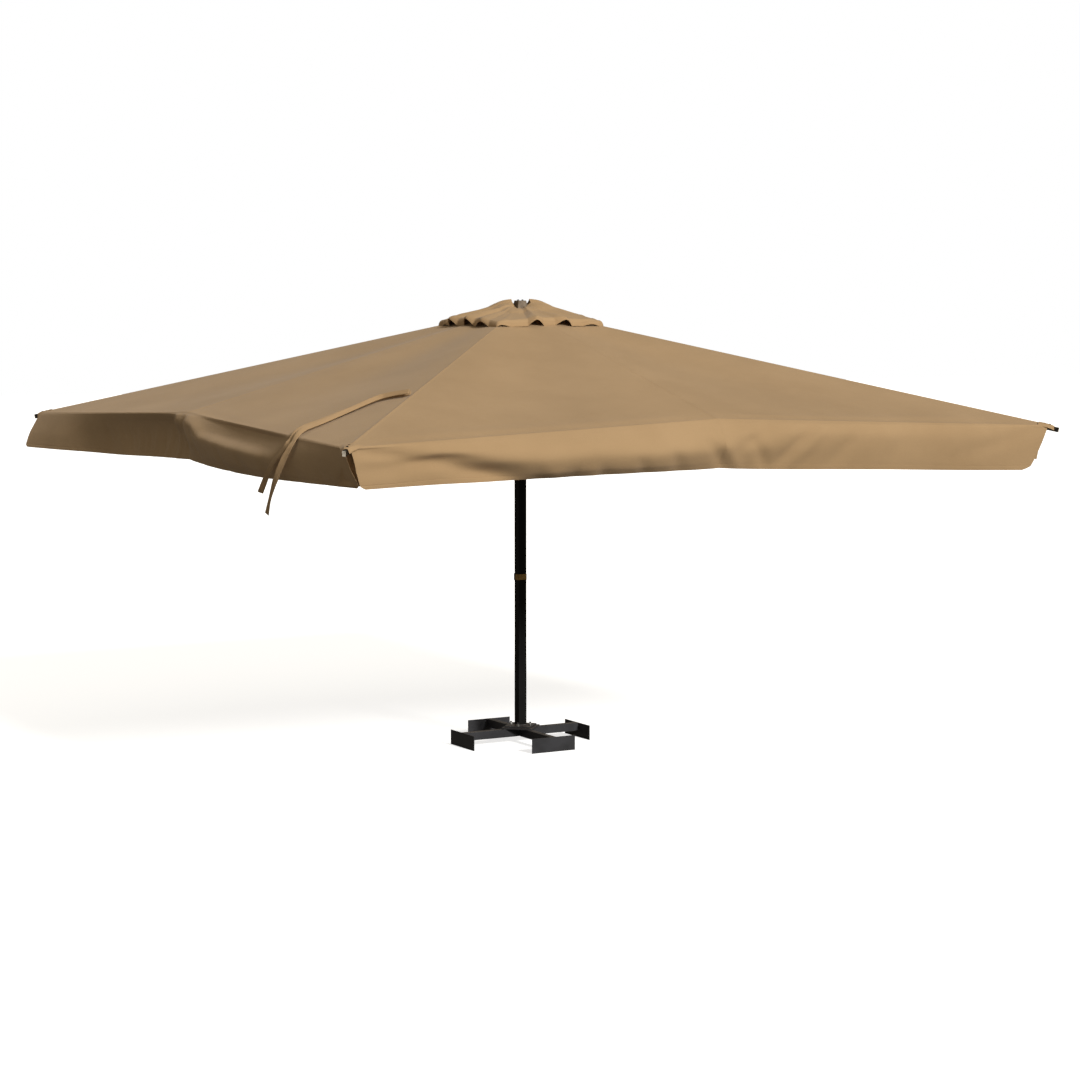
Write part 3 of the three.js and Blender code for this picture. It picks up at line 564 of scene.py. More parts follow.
def canvas_material(name, lit, deep):
    """Canvas: cloudy dye, weave, stitched seams at the ribs, and a hem at the lower edge.
    The UV map Weave is the cloth in metres; Edges holds the distances to seam and hem."""
    material = bpy.data.materials.new(name)
    material.use_nodes = True
    tree = material.node_tree
    cloth = tree.nodes["Principled BSDF"].inputs
    woven, edges = tree.nodes.new("ShaderNodeUVMap"), tree.nodes.new("ShaderNodeUVMap")
    woven.uv_map, edges.uv_map = "Weave", "Edges"
    apart = tree.nodes.new("ShaderNodeSeparateXYZ")
    tree.links.new(edges.outputs[0], apart.inputs[0])
    weave = tree.nodes.new("ShaderNodeGroup")
    weave.node_tree = weave_group
    weave.inputs["Threads"].default_value = THREADS
    tree.links.new(woven.outputs[0], weave.inputs["Vector"])

    clouds = noise(tree, tree.nodes.new("ShaderNodeTexCoord").outputs["Object"], 1.7, 5.0)
    clouds.inputs["Roughness"].default_value = 0.62
    colour = mixed(tree, ranged(tree, clouds.outputs["Fac"], 0.3, 0.7), deep, lit)
    grain = ranged(tree, weave.outputs["Shade"], to_low=0.93, to_high=1.05)
    colour = mixed(tree, 1.0, colour, grain, blend="MULTIPLY")
    lines = []
    for axis, at, width, depth in (
        ("X", 0.0085, 0.0016, 0.05),
        ("X", 0.0045, 0.0011, 0.03),
        ("Y", 0.0250, 0.0016, 0.22),
        ("Y", 0.0030, 0.0030, 0.16),
    ):
        line = tree.nodes.new("ShaderNodeGroup")
        line.node_tree = line_group
        for socket, value in (("Place", at), ("Width", width), ("Distance", apart.outputs[axis])):
            fed(tree, line.inputs[socket], value)
        lines.append(line.outputs["Line"])
        shade = calc(tree, "MULTIPLY", lines[-1], depth)
        colour = mixed(tree, shade, colour, (0.42, 0.34, 0.25, 1.0), blend="MULTIPLY")
    fed(tree, cloth["Base Color"], colour)
    fed(tree, cloth["Roughness"], ranged(tree, weave.outputs["Height"], to_low=0.94, to_high=0.76))
    cloth["Sheen Weight"].default_value = 0.10
    cloth["Sheen Roughness"].default_value = 0.5
    cloth["Specular IOR Level"].default_value = 0.22
    stitched = calc(tree, "ADD", lines[0], lines[2])
    sunk = calc(tree, "MULTIPLY_ADD", stitched, -1.5, weave.outputs["Height"])
    fed(tree, cloth["Normal"], relief(tree, sunk, 0.0004, 0.55))
    return material


canvas = canvas_material("canvas", CLOTH_LIT, CLOTH_DEEP)

# How each side's valance hangs, from its left end to its right end as seen from outside:
# the place along the side, then how far out and how far down the cloth passes at five
# heights between the eave and the hem.
HANGS = {
    "front": [
        (-2.50, 0.004, -0.020, 0.004, -0.075, 0.000, -0.135, -0.004, -0.190, -0.008, -0.237),
        (-2.20, 0.010, -0.022, 0.014, -0.075, 0.000, -0.125, 0.004, -0.190, 0.000, -0.240),
        (-1.91, 0.022, -0.024, 0.040, -0.066, 0.014, -0.106, 0.016, -0.175, 0.012, -0.244),
        (-1.60, 0.030, -0.028, 0.068, -0.080, 0.066, -0.132, 0.016, -0.190, 0.010, -0.254),
        (-1.26, 0.032, -0.030, 0.084, -0.088, 0.100, -0.152, 0.062, -0.222, 0.010, -0.261),
        (-0.90, 0.034, -0.030, 0.090, -0.086, 0.108, -0.150, 0.076, -0.222, 0.026, -0.268),
        (-0.55, 0.032, -0.032, 0.086, -0.098, 0.112, -0.168, 0.082, -0.236, 0.034, -0.278),
        (-0.15, 0.030, -0.034, 0.078, -0.100, 0.098, -0.170, 0.066, -0.240, 0.030, -0.290),
        (0.25, 0.030, -0.028, 0.066, -0.088, 0.072, -0.160, 0.044, -0.236, 0.018, -0.297),
        (0.60, 0.030, -0.024, 0.056, -0.078, 0.052, -0.152, 0.030, -0.230, 0.010, -0.296),
        (1.20, 0.026, -0.022, 0.046, -0.080, 0.040, -0.152, 0.024, -0.228, 0.006, -0.292),
        (1.80, 0.020, -0.020, 0.032, -0.078, 0.028, -0.152, 0.016, -0.228, 0.002, -0.292),
        (2.50, 0.008, -0.018, 0.012, -0.074, 0.008, -0.146, 0.002, -0.220, -0.004, -0.286),
    ],
    "left": [
        (-2.50, 0.018, -0.018, 0.056, -0.076, 0.096, -0.140, 0.122, -0.196, 0.138, -0.238),
        (-2.00, 0.014, -0.020, 0.038, -0.080, 0.060, -0.150, 0.072, -0.210, 0.080, -0.256),
        (-1.55, 0.008, -0.020, 0.006, -0.082, 0.002, -0.156, 0.008, -0.218, 0.020, -0.270),
        (-1.10, 0.002, -0.020, -0.020, -0.076, -0.034, -0.146, -0.030, -0.218, -0.014, -0.284),
        (-0.60, 0.000, -0.018, -0.032, -0.068, -0.052, -0.138, -0.048, -0.216, -0.030, -0.290),
        (-0.25, 0.006, -0.018, -0.022, -0.064, -0.044, -0.132, -0.042, -0.212, -0.028, -0.296),
        (-0.08, 0.024, -0.022, 0.034, -0.066, 0.002, -0.130, -0.018, -0.210, -0.016, -0.299),
        (0.12, 0.028, -0.022, 0.060, -0.072, 0.056, -0.146, 0.026, -0.226, 0.004, -0.300),
        (0.43, 0.016, -0.032, 0.046, -0.084, 0.084, -0.138, 0.062, -0.220, 0.020, -0.300),
        (0.90, 0.008, -0.036, 0.032, -0.092, 0.084, -0.150, 0.070, -0.228, 0.022, -0.294),
        (1.34, 0.008, -0.034, 0.034, -0.092, 0.074, -0.152, 0.060, -0.222, 0.018, -0.280),
        (1.70, 0.012, -0.028, 0.036, -0.088, 0.050, -0.146, 0.038, -0.208, 0.010, -0.262),
        (2.05, 0.010, -0.022, 0.020, -0.078, 0.014, -0.138, -0.002, -0.198, -0.022, -0.246),
        (2.30, 0.006, -0.020, 0.004, -0.074, -0.010, -0.134, -0.034, -0.190, -0.062, -0.236),
        (2.50, 0.000, -0.020, -0.014, -0.072, -0.040, -0.130, -0.068, -0.182, -0.096, -0.228),
    ],
    "right": [
        (-2.50, 0.000, -0.020, -0.016, -0.076, -0.046, -0.138, -0.080, -0.200, -0.118, -0.252),
        (-2.20, 0.008, -0.020, 0.006, -0.076, -0.008, -0.144, -0.024, -0.212, -0.040, -0.266),
        (-1.60, 0.018, -0.022, 0.034, -0.080, 0.034, -0.152, 0.020, -0.226, 0.004, -0.284),
        (-0.70, 0.026, -0.024, 0.056, -0.086, 0.064, -0.158, 0.042, -0.232, 0.012, -0.290),
        (0.00, 0.022, -0.022, 0.036, -0.080, 0.032, -0.154, 0.016, -0.232, 0.000, -0.296),
        (0.80, 0.020, -0.026, 0.056, -0.088, 0.078, -0.156, 0.052, -0.230, 0.014, -0.288),
        (1.60, 0.018, -0.024, 0.036, -0.082, 0.036, -0.152, 0.018, -0.224, 0.002, -0.276),
        (2.50, 0.006, -0.020, 0.006, -0.076, 0.000, -0.140, -0.006, -0.204, -0.010, -0.250),
    ],
    "back": [
        (-2.50, 0.006, -0.020, 0.008, -0.074, 0.002, -0.138, -0.004, -0.200, -0.008, -0.248),
        (-1.50, 0.020, -0.024, 0.046, -0.084, 0.052, -0.152, 0.030, -0.224, 0.006, -0.274),
        (-0.60, 0.024, -0.026, 0.060, -0.088, 0.076, -0.158, 0.050, -0.232, 0.014, -0.290),
        (0.20, 0.014, -0.020, 0.014, -0.078, 0.000, -0.150, -0.006, -0.228, -0.008, -0.296),
        (1.00, 0.020, -0.022, 0.040, -0.082, 0.044, -0.154, 0.028, -0.230, 0.008, -0.286),
        (1.80, 0.016, -0.022, 0.026, -0.080, 0.026, -0.150, 0.014, -0.224, 0.000, -0.268),
        (2.50, 0.010, -0.020, 0.024, -0.078, 0.040, -0.140, 0.050, -0.196, 0.058, -0.244),
    ],
}

# Creases in the cloth: along the side and down from the eave at both ends, half-width, and
# how far the cloth stands out (a fold) or in (a hollow)
CREASES = {
    "front": [
        (-1.30, 0.23, -1.20, 0.33, 0.030, -0.016), (-1.06, 0.24, -0.98, 0.33, 0.028, -0.014),
        (-0.86, 0.25, -0.76, 0.33, 0.030, -0.015), (-1.18, 0.25, -1.10, 0.33, 0.024, 0.012),
        (-0.92, 0.25, -0.87, 0.33, 0.024, 0.012), (-0.62, 0.22, -0.50, 0.33, 0.034, -0.014),
        (-0.38, 0.20, -0.26, 0.33, 0.036, -0.016), (-0.12, 0.15, 0.04, 0.31, 0.034, -0.018),
        (-0.02, 0.14, 0.12, 0.30, 0.030, 0.012), (0.34, 0.06, 0.10, 0.20, 0.040, -0.014),
        (0.22, 0.14, 0.34, 0.31, 0.034, -0.016), (0.62, 0.08, 0.40, 0.26, 0.044, -0.018),
        (0.72, 0.06, 0.52, 0.25, 0.036, 0.012), (0.98, 0.08, 0.78, 0.26, 0.050, -0.012),
        (1.34, 0.06, 1.22, 0.26, 0.050, -0.007), (2.46, 0.01, 1.70, 0.22, 0.050, -0.006),
        (-2.46, 0.02, -1.94, 0.12, 0.034, -0.013), (-1.94, 0.12, -1.30, 0.29, 0.040, -0.018),
        (0.06, -0.03, 2.30, -0.055, 0.022, -0.004), (0.10, -0.09, 2.10, -0.16, 0.030, 0.003),
        (-0.05, -0.02, -2.30, -0.045, 0.024, -0.004), (-0.20, -0.10, -2.20, -0.14, 0.040, 0.003),
    ],
    "left": [
        (-0.10, 0.00, -0.22, 0.30, 0.034, 0.020), (0.02, 0.02, -0.06, 0.28, 0.026, -0.018),
        (0.02, 0.03, 0.40, 0.13, 0.040, 0.014), (0.40, 0.13, 1.34, 0.155, 0.040, 0.010),
        (0.20, -0.02, 1.60, 0.045, 0.045, -0.012), (0.16, 0.10, 0.30, 0.28, 0.040, -0.012),
        (-0.34, 0.10, -0.40, 0.28, 0.022, 0.010), (-0.46, 0.12, -0.48, 0.29, 0.020, -0.010),
        (-0.58, 0.10, -0.60, 0.28, 0.022, 0.010), (-0.72, 0.12, -0.70, 0.28, 0.022, -0.010),
        (-0.86, 0.12, -0.82, 0.27, 0.022, 0.009), (-1.00, 0.13, -0.94, 0.27, 0.024, -0.009),
        (-1.16, 0.13, -1.08, 0.26, 0.024, 0.008), (-1.34, 0.10, -1.24, 0.26, 0.030, -0.007),
        (0.70, 0.20, 0.78, 0.31, 0.034, -0.010), (1.05, 0.20, 1.12, 0.30, 0.034, -0.009),
        (1.40, 0.19, 1.48, 0.29, 0.034, -0.009), (1.80, 0.17, 1.86, 0.27, 0.034, -0.007),
        (2.12, 0.18, 2.14, 0.26, 0.028, -0.008), (2.28, 0.17, 2.30, 0.25, 0.026, 0.007),
        (-0.10, -0.03, -2.30, -0.05, 0.026, -0.004), (0.15, -0.12, 2.20, -0.10, 0.040, 0.003),
    ],
    "right": [
        (-0.90, 0.18, -0.82, 0.30, 0.036, -0.012), (-0.50, 0.16, -0.40, 0.30, 0.036, -0.012),
        (0.60, 0.18, 0.68, 0.30, 0.034, -0.012), (0.95, 0.18, 1.02, 0.30, 0.034, -0.012),
        (0.10, 0.03, 0.50, 0.16, 0.040, 0.012), (0.08, -0.03, 2.30, -0.05, 0.024, -0.004),
        (-0.08, -0.03, -2.30, -0.05, 0.024, -0.004), (2.40, 0.03, 1.70, 0.20, 0.045, -0.010),
    ],
    "back": [
        (-1.00, 0.18, -0.92, 0.30, 0.036, -0.012), (-0.60, 0.18, -0.50, 0.30, 0.036, -0.013),
        (-0.28, 0.14, -0.16, 0.30, 0.034, -0.012), (0.90, 0.18, 1.00, 0.30, 0.036, -0.010),
        (-0.06, 0.03, -0.50, 0.16, 0.040, 0.012), (0.08, -0.03, 2.30, -0.05, 0.024, -0.004),
        (-0.08, -0.03, -2.30, -0.05, 0.024, -0.004), (-2.40, 0.03, -1.70, 0.20, 0.045, -0.012),
    ],
}

SIDES = {"right": 0, "back": 1, "left": 2, "front": 3}
END_SLANT = {"front": (0.078, 0.165), "left": (0.030, 0.000), "right": (0.19, 0.06), "back": (0.06, 0.04)}
END_ROUNDING = {"front": (0.026, 0.055), "left": (0.030, 0.034), "right": (0.03, 0.03), "back": (0.03, 0.03)}
SEAM_STEPS = (0.0, 0.0062, 0.0078)
SEAM_LIFT = (0.0007, 0.0006, 0.0)


def smooth_between(keys, value):
    """Catmull-Rom between rows whose first entry is the place, ends held."""
    if value <= keys[0][0]:
        return keys[0][1:]
    if value >= keys[-1][0]:
        return keys[-1][1:]
    k = max(i for i in range(len(keys) - 1) if keys[i][0] <= value)
    before, here = keys[max(k - 1, 0)], keys[k]
    there, after = keys[k + 1], keys[min(k + 2, len(keys) - 1)]
    span = there[0] - here[0]
    t = (value - here[0]) / span
    out = []
    for c in range(1, len(here)):
        leave = (there[c] - before[c]) / (there[0] - before[0]) * span
        arrive = (after[c] - here[c]) / (after[0] - here[0]) * span
        out.append(
            here[c] * (2 * t ** 3 - 3 * t ** 2 + 1) + leave * (t ** 3 - 2 * t ** 2 + t)
            + there[c] * (3 * t ** 2 - 2 * t ** 3) + arrive * (t ** 3 - t ** 2)
        )
    return out


def creasing(side, along, down):
    """How far folds and hollows move the cloth at this place of a side."""
    total = 0.0
    for a0, d0, a1, d1, width, depth in CREASES[side]:
        if not min(a0, a1) - 3 * width < along < max(a0, a1) + 3 * width:
            continue
        run = Vector((a1 - a0, d1 - d0))
        t = max(0.0, min(1.0, Vector((along - a0, down - d0)).dot(run) / run.length_squared))
        near = Vector((along - a0 - run.x * t, down - d0 - run.y * t)).length
        taper = 0.35 + 0.65 * math.sin(math.pi * min(max(t, 0.02), 0.98)) ** 0.5
        total += depth * taper * math.exp(-((near / width) ** 2))
    return total


def on_side(side, along, out, height):
    """A point given along a side, out from the mast and up, as a point of the row frame."""
    turn = SIDES[side] * math.pi / 2
    c, s = math.cos(turn), math.sin(turn)
    return Vector((out * c - along * s, out * s + along * c, height))


def slope_point(side, run, v, lift=0.0):
    """The roof's upper side: run is the slope of the line out from the mast, v runs from
    the vent to the eave."""
    eave_out = SIDE_REACH / (1 - EAVE_BOW * abs(run))
    out = VENT_HALF + (eave_out - VENT_HALF) * v
    along = run * out
    eave_z = SIDE_Z - EAVE_FALL * abs(run) * eave_out
    height = APEX_Z - (APEX_Z - eave_z) * out / eave_out
    turned = math.atan(abs(run)) / (math.pi / 4)
    sag = SAG * math.sin(math.pi * v) * math.sin(math.pi * turned) ** 2
    down = -(eave_out - out) * 1.03
    height += creasing(side, along, down) * min(1.0, -down / 0.04 + 0.2) - sag + lift
    return on_side(side, along, out, height), along, down


def valance_point(side, along, w, lift=0.0):
    """The valance: w runs from the eave to the hem."""
    row = smooth_between(HANGS[side], along)
    eave_out = SIDE_REACH + EAVE_BOW * abs(along)
    eave_z = SIDE_Z - EAVE_FALL * abs(along)
    stops = [(-0.25, -0.062, 0.066), (0.0, 0.0, 0.0)]
    stops += [(0.2 * (k + 1), row[2 * k], row[2 * k + 1]) for k in range(5)]
    if w <= 0.0:
        out, drop = 0.0, 0.0
    else:
        out, drop = smooth_between(stops, w)
    down = -drop + 0.2 * out
    out += creasing(side, along, down) * min(1.0, w / 0.15) + lift
    out += 0.0016 * math.sin(along * 41.0) * math.sin(along * 17.3 + 2.0) * w * w
    return on_side(side, along, eave_out + out, eave_z + drop), down


def cloth_maps(bm, weave_of, edges_of):
    """The cloth's UV maps from each vertex's place on the cloth and its distances to edges."""
    weave = bm.loops.layers.uv.new("Weave")
    edges = bm.loops.layers.uv.new("Edges")
    for face in bm.faces:
        face.smooth = True
        for loop in face.loops:
            loop[weave].uv = weave_of[loop.vert]
            loop[edges].uv = edges_of[loop.vert]


def half_sheet(side, run_from, run_to, across, slit=False):
    """One half of a rib's cloth, from its rib to the line half-way to the next rib."""
    bm = bmesh.new()
    slope_rows = [1 - (1 - k / 34) ** 1.6 for k in range(35)]
    hang_rows = sorted([k / 32 for k in range(1, 33)] + [0.905, 0.915])
    rows = len(slope_rows) + len(hang_rows)
    columns = across + len(SEAM_STEPS) - 1
    bmesh.ops.create_grid(bm, x_segments=columns, y_segments=rows - 1, size=1.0)
    weave_of, edges_of = {}, {}
    sign = 1.0 if run_to > run_from else -1.0
    for vert in bm.verts:
        i = round((vert.co.x + 1) / 2 * columns)
        j = round((vert.co.y + 1) / 2 * (rows - 1))
        start_along_eave = run_from * SIDE_REACH / (1 - EAVE_BOW * abs(run_from))
        end_along_eave = run_to * SIDE_REACH / (1 - EAVE_BOW * abs(run_to))
        if j < len(slope_rows):
            v = slope_rows[j]
            eave_guess = SIDE_REACH / (1 - EAVE_BOW * abs(run_from))
            out_guess = VENT_HALF + (eave_guess - VENT_HALF) * v
            if i < len(SEAM_STEPS):
                run = run_from + sign * SEAM_STEPS[i] / out_guess
                lift = SEAM_LIFT[i]
            else:
                share = (i - len(SEAM_STEPS) + 1) / across
                start = run_from + sign * SEAM_STEPS[-1] / out_guess
                run = start + (run_to - start) * share
                lift = 0.0
            point, along, down = slope_point(side, run, v, lift)
            seam = abs(run - run_from) * out_guess
            weave_of[vert] = (along, down)
            edges_of[vert] = (seam, 1.0 - down)
        else:
            w = hang_rows[j - len(slope_rows)]
            start = start_along_eave
            if slit:
                slant = END_SLANT[side][0 if start < 0 else 1]
                rounding = END_ROUNDING[side][0 if start < 0 else 1] * max(0.0, (w - 0.90) / 0.10) ** 2
                start -= math.copysign(0.016 * min(1.0, w / 0.06) + slant * w ** 1.15 + rounding, start)
            if i < len(SEAM_STEPS):
                along = start + sign * SEAM_STEPS[i]
                lift = 0.0 if slit else SEAM_LIFT[i] * 0.8
            else:
                share = (i - len(SEAM_STEPS) + 1) / across
                base = start + sign * SEAM_STEPS[-1]
                along = base + (end_along_eave - base) * share
                lift = 0.0
            lift += 0.0009 if w > 0.91 else 0.0
            point, down = valance_point(side, along, w, lift)
            length = 0.262 + 0.06 * math.cos(min(abs(along), 2.4) * 0.65)
            weave_of[vert] = (along, down + 0.03)
            seam = abs(along - start) + (0.003 if slit else 0.0)
            edges_of[vert] = (seam, (1.0 - w) * length)
        vert.co = point
    cloth_maps(bm, weave_of, edges_of)
    if sign < 0:
        bmesh.ops.reverse_faces(bm, faces=bm.faces)
    mesh = bpy.data.meshes.new("half")
    bm.to_mesh(mesh)
    bm.free()
    return mesh


def joined(name, halves):
    """Two halves welded along their rib into one mesh object."""
    bm = bmesh.new()
    for half in halves:
        bm.from_mesh(half)
        bpy.data.meshes.remove(half)
    bmesh.ops.remove_doubles(bm, verts=bm.verts, dist=2e-5)
    for face in bm.faces:
        face.smooth = True
    for edge in bm.edges:
        edge.smooth = not edge.is_boundary
    return placed(name, bm)


def cloth_thickness(piece, thickness):
    solid = piece.modifiers.new("thickness", "SOLIDIFY")
    solid.thickness = thickness
    solid.offset = -1.0
    solid.use_even_offset = False


def fold_with_rib(piece):
    """Gives the piece its own copy of its mesh."""
    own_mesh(piece)


NEIGHBOURS = {
    "back_right": ("right", "back"), "back_left": ("back", "left"),
    "front_left": ("left", "front"), "front_right": ("front", "right"),
}
CLOTH_THICKNESS = 0.0011

for direction in DIRECTIONS:
    if direction in NEIGHBOURS:
        before, after = NEIGHBOURS[direction]
        halves = [
            half_sheet(before, 1.0, MEETING, 44, slit=True),
            half_sheet(after, -1.0, -MEETING, 44, slit=True),
        ]
        flat, area, stands_for = (2.36, 3.53), 4.37, ("_a", "_b")
    else:
        halves = [
            half_sheet(direction, 0.0, MEETING, 34),
            half_sheet(direction, 0.0, -MEETING, 34),
        ]
        flat, area, stands_for = (2.03, 2.44), 2.96, ("",)
    sheet = joined("canopy_" + direction, halves)
    sheet.data.materials.append(canvas)
    cloth_thickness(sheet, CLOTH_THICKNESS)
    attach(sheet, "arm_" + direction)
    fold_with_rib(sheet)
    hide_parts("panel_" + direction, *["valance_" + direction + end for end in stands_for])


# Vent cap. A loose square of the same canvas over the vent, screwed to the block on the
# mast head with a reinforcing collar under it, its gathered hem lying on the roof.
CAP_HALF = 0.434
CAP_INNER = 0.052
COLLAR_IN, COLLAR_OUT = 0.043, 0.106
CAP_OPENINGS = {
    "front": ((-0.385, 0.060, 0.014), (-0.120, 0.062, 0.044), (0.097, 0.066, 0.042), (0.325, 0.070, 0.014)),
    "left": ((-0.310, 0.050, 0.010), (-0.186, 0.060, 0.048), (0.050, 0.068, 0.050), (0.235, 0.090, 0.034)),
    "back": ((-0.300, 0.070, 0.036), (-0.060, 0.066, 0.044), (0.160, 0.070, 0.026), (0.340, 0.060, 0.010)),
    "right": ((-0.330, 0.060, 0.010), (-0.110, 0.070, 0.046), (0.130, 0.062, 0.034), (0.330, 0.070, 0.042)),
}
CAP_FOLDS = random.Random(11)
CAP_WAVES = [(k, CAP_FOLDS.uniform(0, 6.28), CAP_FOLDS.uniform(0.5, 1.0) / k ** 0.6) for k in (5, 7, 9, 12, 16, 21)]


def squareness(angle):
    return 1.0 / max(abs(math.cos(angle)), abs(math.sin(angle)))


def roof_height(angle, out):
    """Height of the roof's cloth at this angle and distance from the mast."""
    quarter = abs((math.degrees(angle) + 45.0) % 90.0 - 45.0)
    run = math.tan(math.radians(quarter))
    eave_out = SIDE_REACH / (1 - EAVE_BOW * run)
    eave_z = SIDE_Z - EAVE_FALL * run * eave_out
    return APEX_Z - (APEX_Z - eave_z) * out * math.cos(math.radians(quarter)) / eave_out


def openings_at(angle):
    """How open the hem of the vent cap stands at this angle: 0 where it lies on the roof,
    and the height of the nearest gap in metres."""
    quarter = round(angle / (math.pi / 2))
    side = ("right", "back", "left", "front")[quarter % 4]
    along = CAP_HALF * math.tan(angle - quarter * math.pi / 2)
    lift = 0.0
    for middle, half_width, height in CAP_OPENINGS[side]:
        near = abs(along - middle) / half_width
        if near < 1.0:
            lift = max(lift, height * (1 - near ** 1.5))
    return lift


def cap_point(angle, v):
    square = squareness(angle)
    corner = (square - 1) / (math.sqrt(2) - 1)
    edge = CAP_HALF * square * (1 - 0.035 * corner)
    shoulder = edge * (0.90 + 0.02 * corner)
    lift = openings_at(angle)
    open_share = lift / 0.045
    folds = sum(
        size * (0.35 * math.sin(k * angle + shift) + 0.9 - 1.5 * abs(math.sin(0.5 * (k * angle + shift))) ** 0.8)
        for k, shift, size in CAP_WAVES
    )
    ridge = 1 - 2 * abs(math.sin(angle - math.radians(150))) ** 0.75
    top = 2.985 + 0.027 * ridge + 0.009 * math.cos(angle - math.radians(60))
    standing = roof_height(angle, shoulder) + 0.055 - 0.012 * corner + 0.012 * (open_share - 0.4)
    if v < 0.78:
        t = v / 0.78
        inner = CAP_INNER * square
        out = inner + (shoulder - inner) * t
        height = top + (standing - top) * t + 0.012 * math.sin(math.pi * min(1.0, 2.6 * t))
        height += 0.0125 * folds * math.sin(math.pi * min(1.0, 0.08 + t)) ** 0.7
        height += 0.010 * (open_share - 0.4) * math.sin(math.pi * t * 0.5) ** 2
        out += 0.006 * folds * t * t
    else:
        t = (v - 0.78) / 0.22
        hem = roof_height(angle, edge) + 0.0035 + lift
        below = standing + 0.006 * (open_share - 0.4) + 0.0125 * folds * 0.37
        out = shoulder + (edge - shoulder) * math.sin(t * math.pi / 2) + 0.006 * folds * (1 - t)
        out += (0.014 * open_share - 0.016 * (1 - min(1.0, open_share))) * math.sin(t * math.pi / 2)
        height = below - (below - hem) * (1 - math.cos(t * math.pi / 2))
    return Vector((out * math.cos(angle), out * math.sin(angle), height))


def ring_sheet(name, point_at, first_angle, last_angle, columns, rows):
    """A sheet laid round the mast between two angles: point_at gives its upper side."""
    bm = bmesh.new()
    bmesh.ops.create_grid(bm, x_segments=columns, y_segments=rows, size=1.0)
    weave_of, edges_of = {}, {}
    for vert in bm.verts:
        angle = first_angle + (last_angle - first_angle) * (vert.co.x + 1) / 2
        v = (vert.co.y + 1) / 2
        weave_of[vert] = (angle * 0.30, v * 0.36)
        edges_of[vert] = (1.0, (1.0 - v) * 0.36)
        vert.co = point_at(angle, v)
    cloth_maps(bm, weave_of, edges_of)
    bmesh.ops.reverse_faces(bm, faces=bm.faces)
    if last_angle - first_angle > 6.28:
        bmesh.ops.remove_doubles(bm, verts=bm.verts, dist=1e-5)
    for edge in bm.edges:
        edge.smooth = not edge.is_boundary
    return placed(name, bm)


for index, direction in enumerate(DIRECTIONS):
    middle = index * math.pi / 4
    sector = ring_sheet("vent_cap_" + direction, cap_point, middle - math.pi / 8, middle + math.pi / 8, 72, 44)
    sector.data.materials.append(canvas)
    cloth_thickness(sector, CLOTH_THICKNESS)
    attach(sector, "arm_" + direction)
    fold_with_rib(sector)
    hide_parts("vent_cap")
    area = 0.124 if "_" in direction else 0.088


def collar_point(angle, v):
    square = 1 + (squareness(angle) - 1) * (1 - 0.75 * v)
    out = COLLAR_IN * square + (COLLAR_OUT - COLLAR_IN) * v
    return Vector((out * math.cos(angle), out * math.sin(angle), 2.950 - 0.004 * v - 0.046 * v ** 7))


collar = ring_sheet("vent_collar", collar_point, 0.0, 2 * math.pi, 96, 14)
collar.data.materials.append(canvas)
cloth_thickness(collar, 0.0018)
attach(collar, "mast_head")

# Tie tapes. Two lengths of folded canvas tape sewn to the front left seam, for tying the
# closed canopy. They are thrown over the roof and hang past the eave, one of them twisted.
TAPE_WIDTH = 0.034
TAPE_THICKNESS = 0.0022


def lying(run, v, lift):
    point, along, down = slope_point("left", run, v, lift)
    return point + Vector((-0.004, -0.006, 0.006)), Vector((-0.42, -0.68, 0.62))


def hanging(x, y, z, turn=0.0):
    """A place on the hanging stretch: turn 0 shows the tape's face, 90 its edge."""
    ahead = math.radians(65.7 - turn)
    return Vector((x, y, z)), Vector((-math.cos(ahead), -math.sin(ahead), 0.02))


def through(points, t):
    """Catmull-Rom through a list of vectors, t from 0 to 1."""
    place = t * (len(points) - 1)
    k = min(int(place), len(points) - 2)
    f = place - k
    a, b = points[max(k - 1, 0)], points[k]
    c, d = points[k + 1], points[min(k + 2, len(points) - 1)]
    return 0.5 * (2 * b + (c - a) * f + (2 * a - 5 * b + 4 * c - d) * f ** 2 + (3 * b - a - 3 * c + d) * f ** 3)


def tape(name, stops, rows=150):
    places, faces = [stop[0] for stop in stops], [stop[1] for stop in stops]
    line = [through(places, k / rows) for k in range(rows + 1)]
    lengths = [0.0]
    for a, b in zip(line, line[1:]):
        lengths.append(lengths[-1] + (b - a).length)
    bm = bmesh.new()
    bmesh.ops.create_grid(bm, x_segments=8, y_segments=rows, size=1.0)
    weave_of, edges_of = {}, {}
    for vert in bm.verts:
        j = round((vert.co.y + 1) / 2 * rows)
        u = vert.co.x / 2
        ahead = (line[min(j + 1, rows)] - line[max(j - 1, 0)]).normalized()
        face = through(faces, j / rows)
        across = face.cross(ahead).normalized()
        out = ahead.cross(across).normalized()
        cup = 0.0016 * math.sin(lengths[j] * 23.0) * (1 - 4 * u * u)
        weave_of[vert] = (u * TAPE_WIDTH, lengths[j])
        edges_of[vert] = (TAPE_WIDTH * (0.5 - abs(u)) + 0.0045, min(lengths[-1] - lengths[j], lengths[j]) + 0.012)
        vert.co = line[j] + across * (u * TAPE_WIDTH) + out * cup
    cloth_maps(bm, weave_of, edges_of)
    return placed(name, bm)


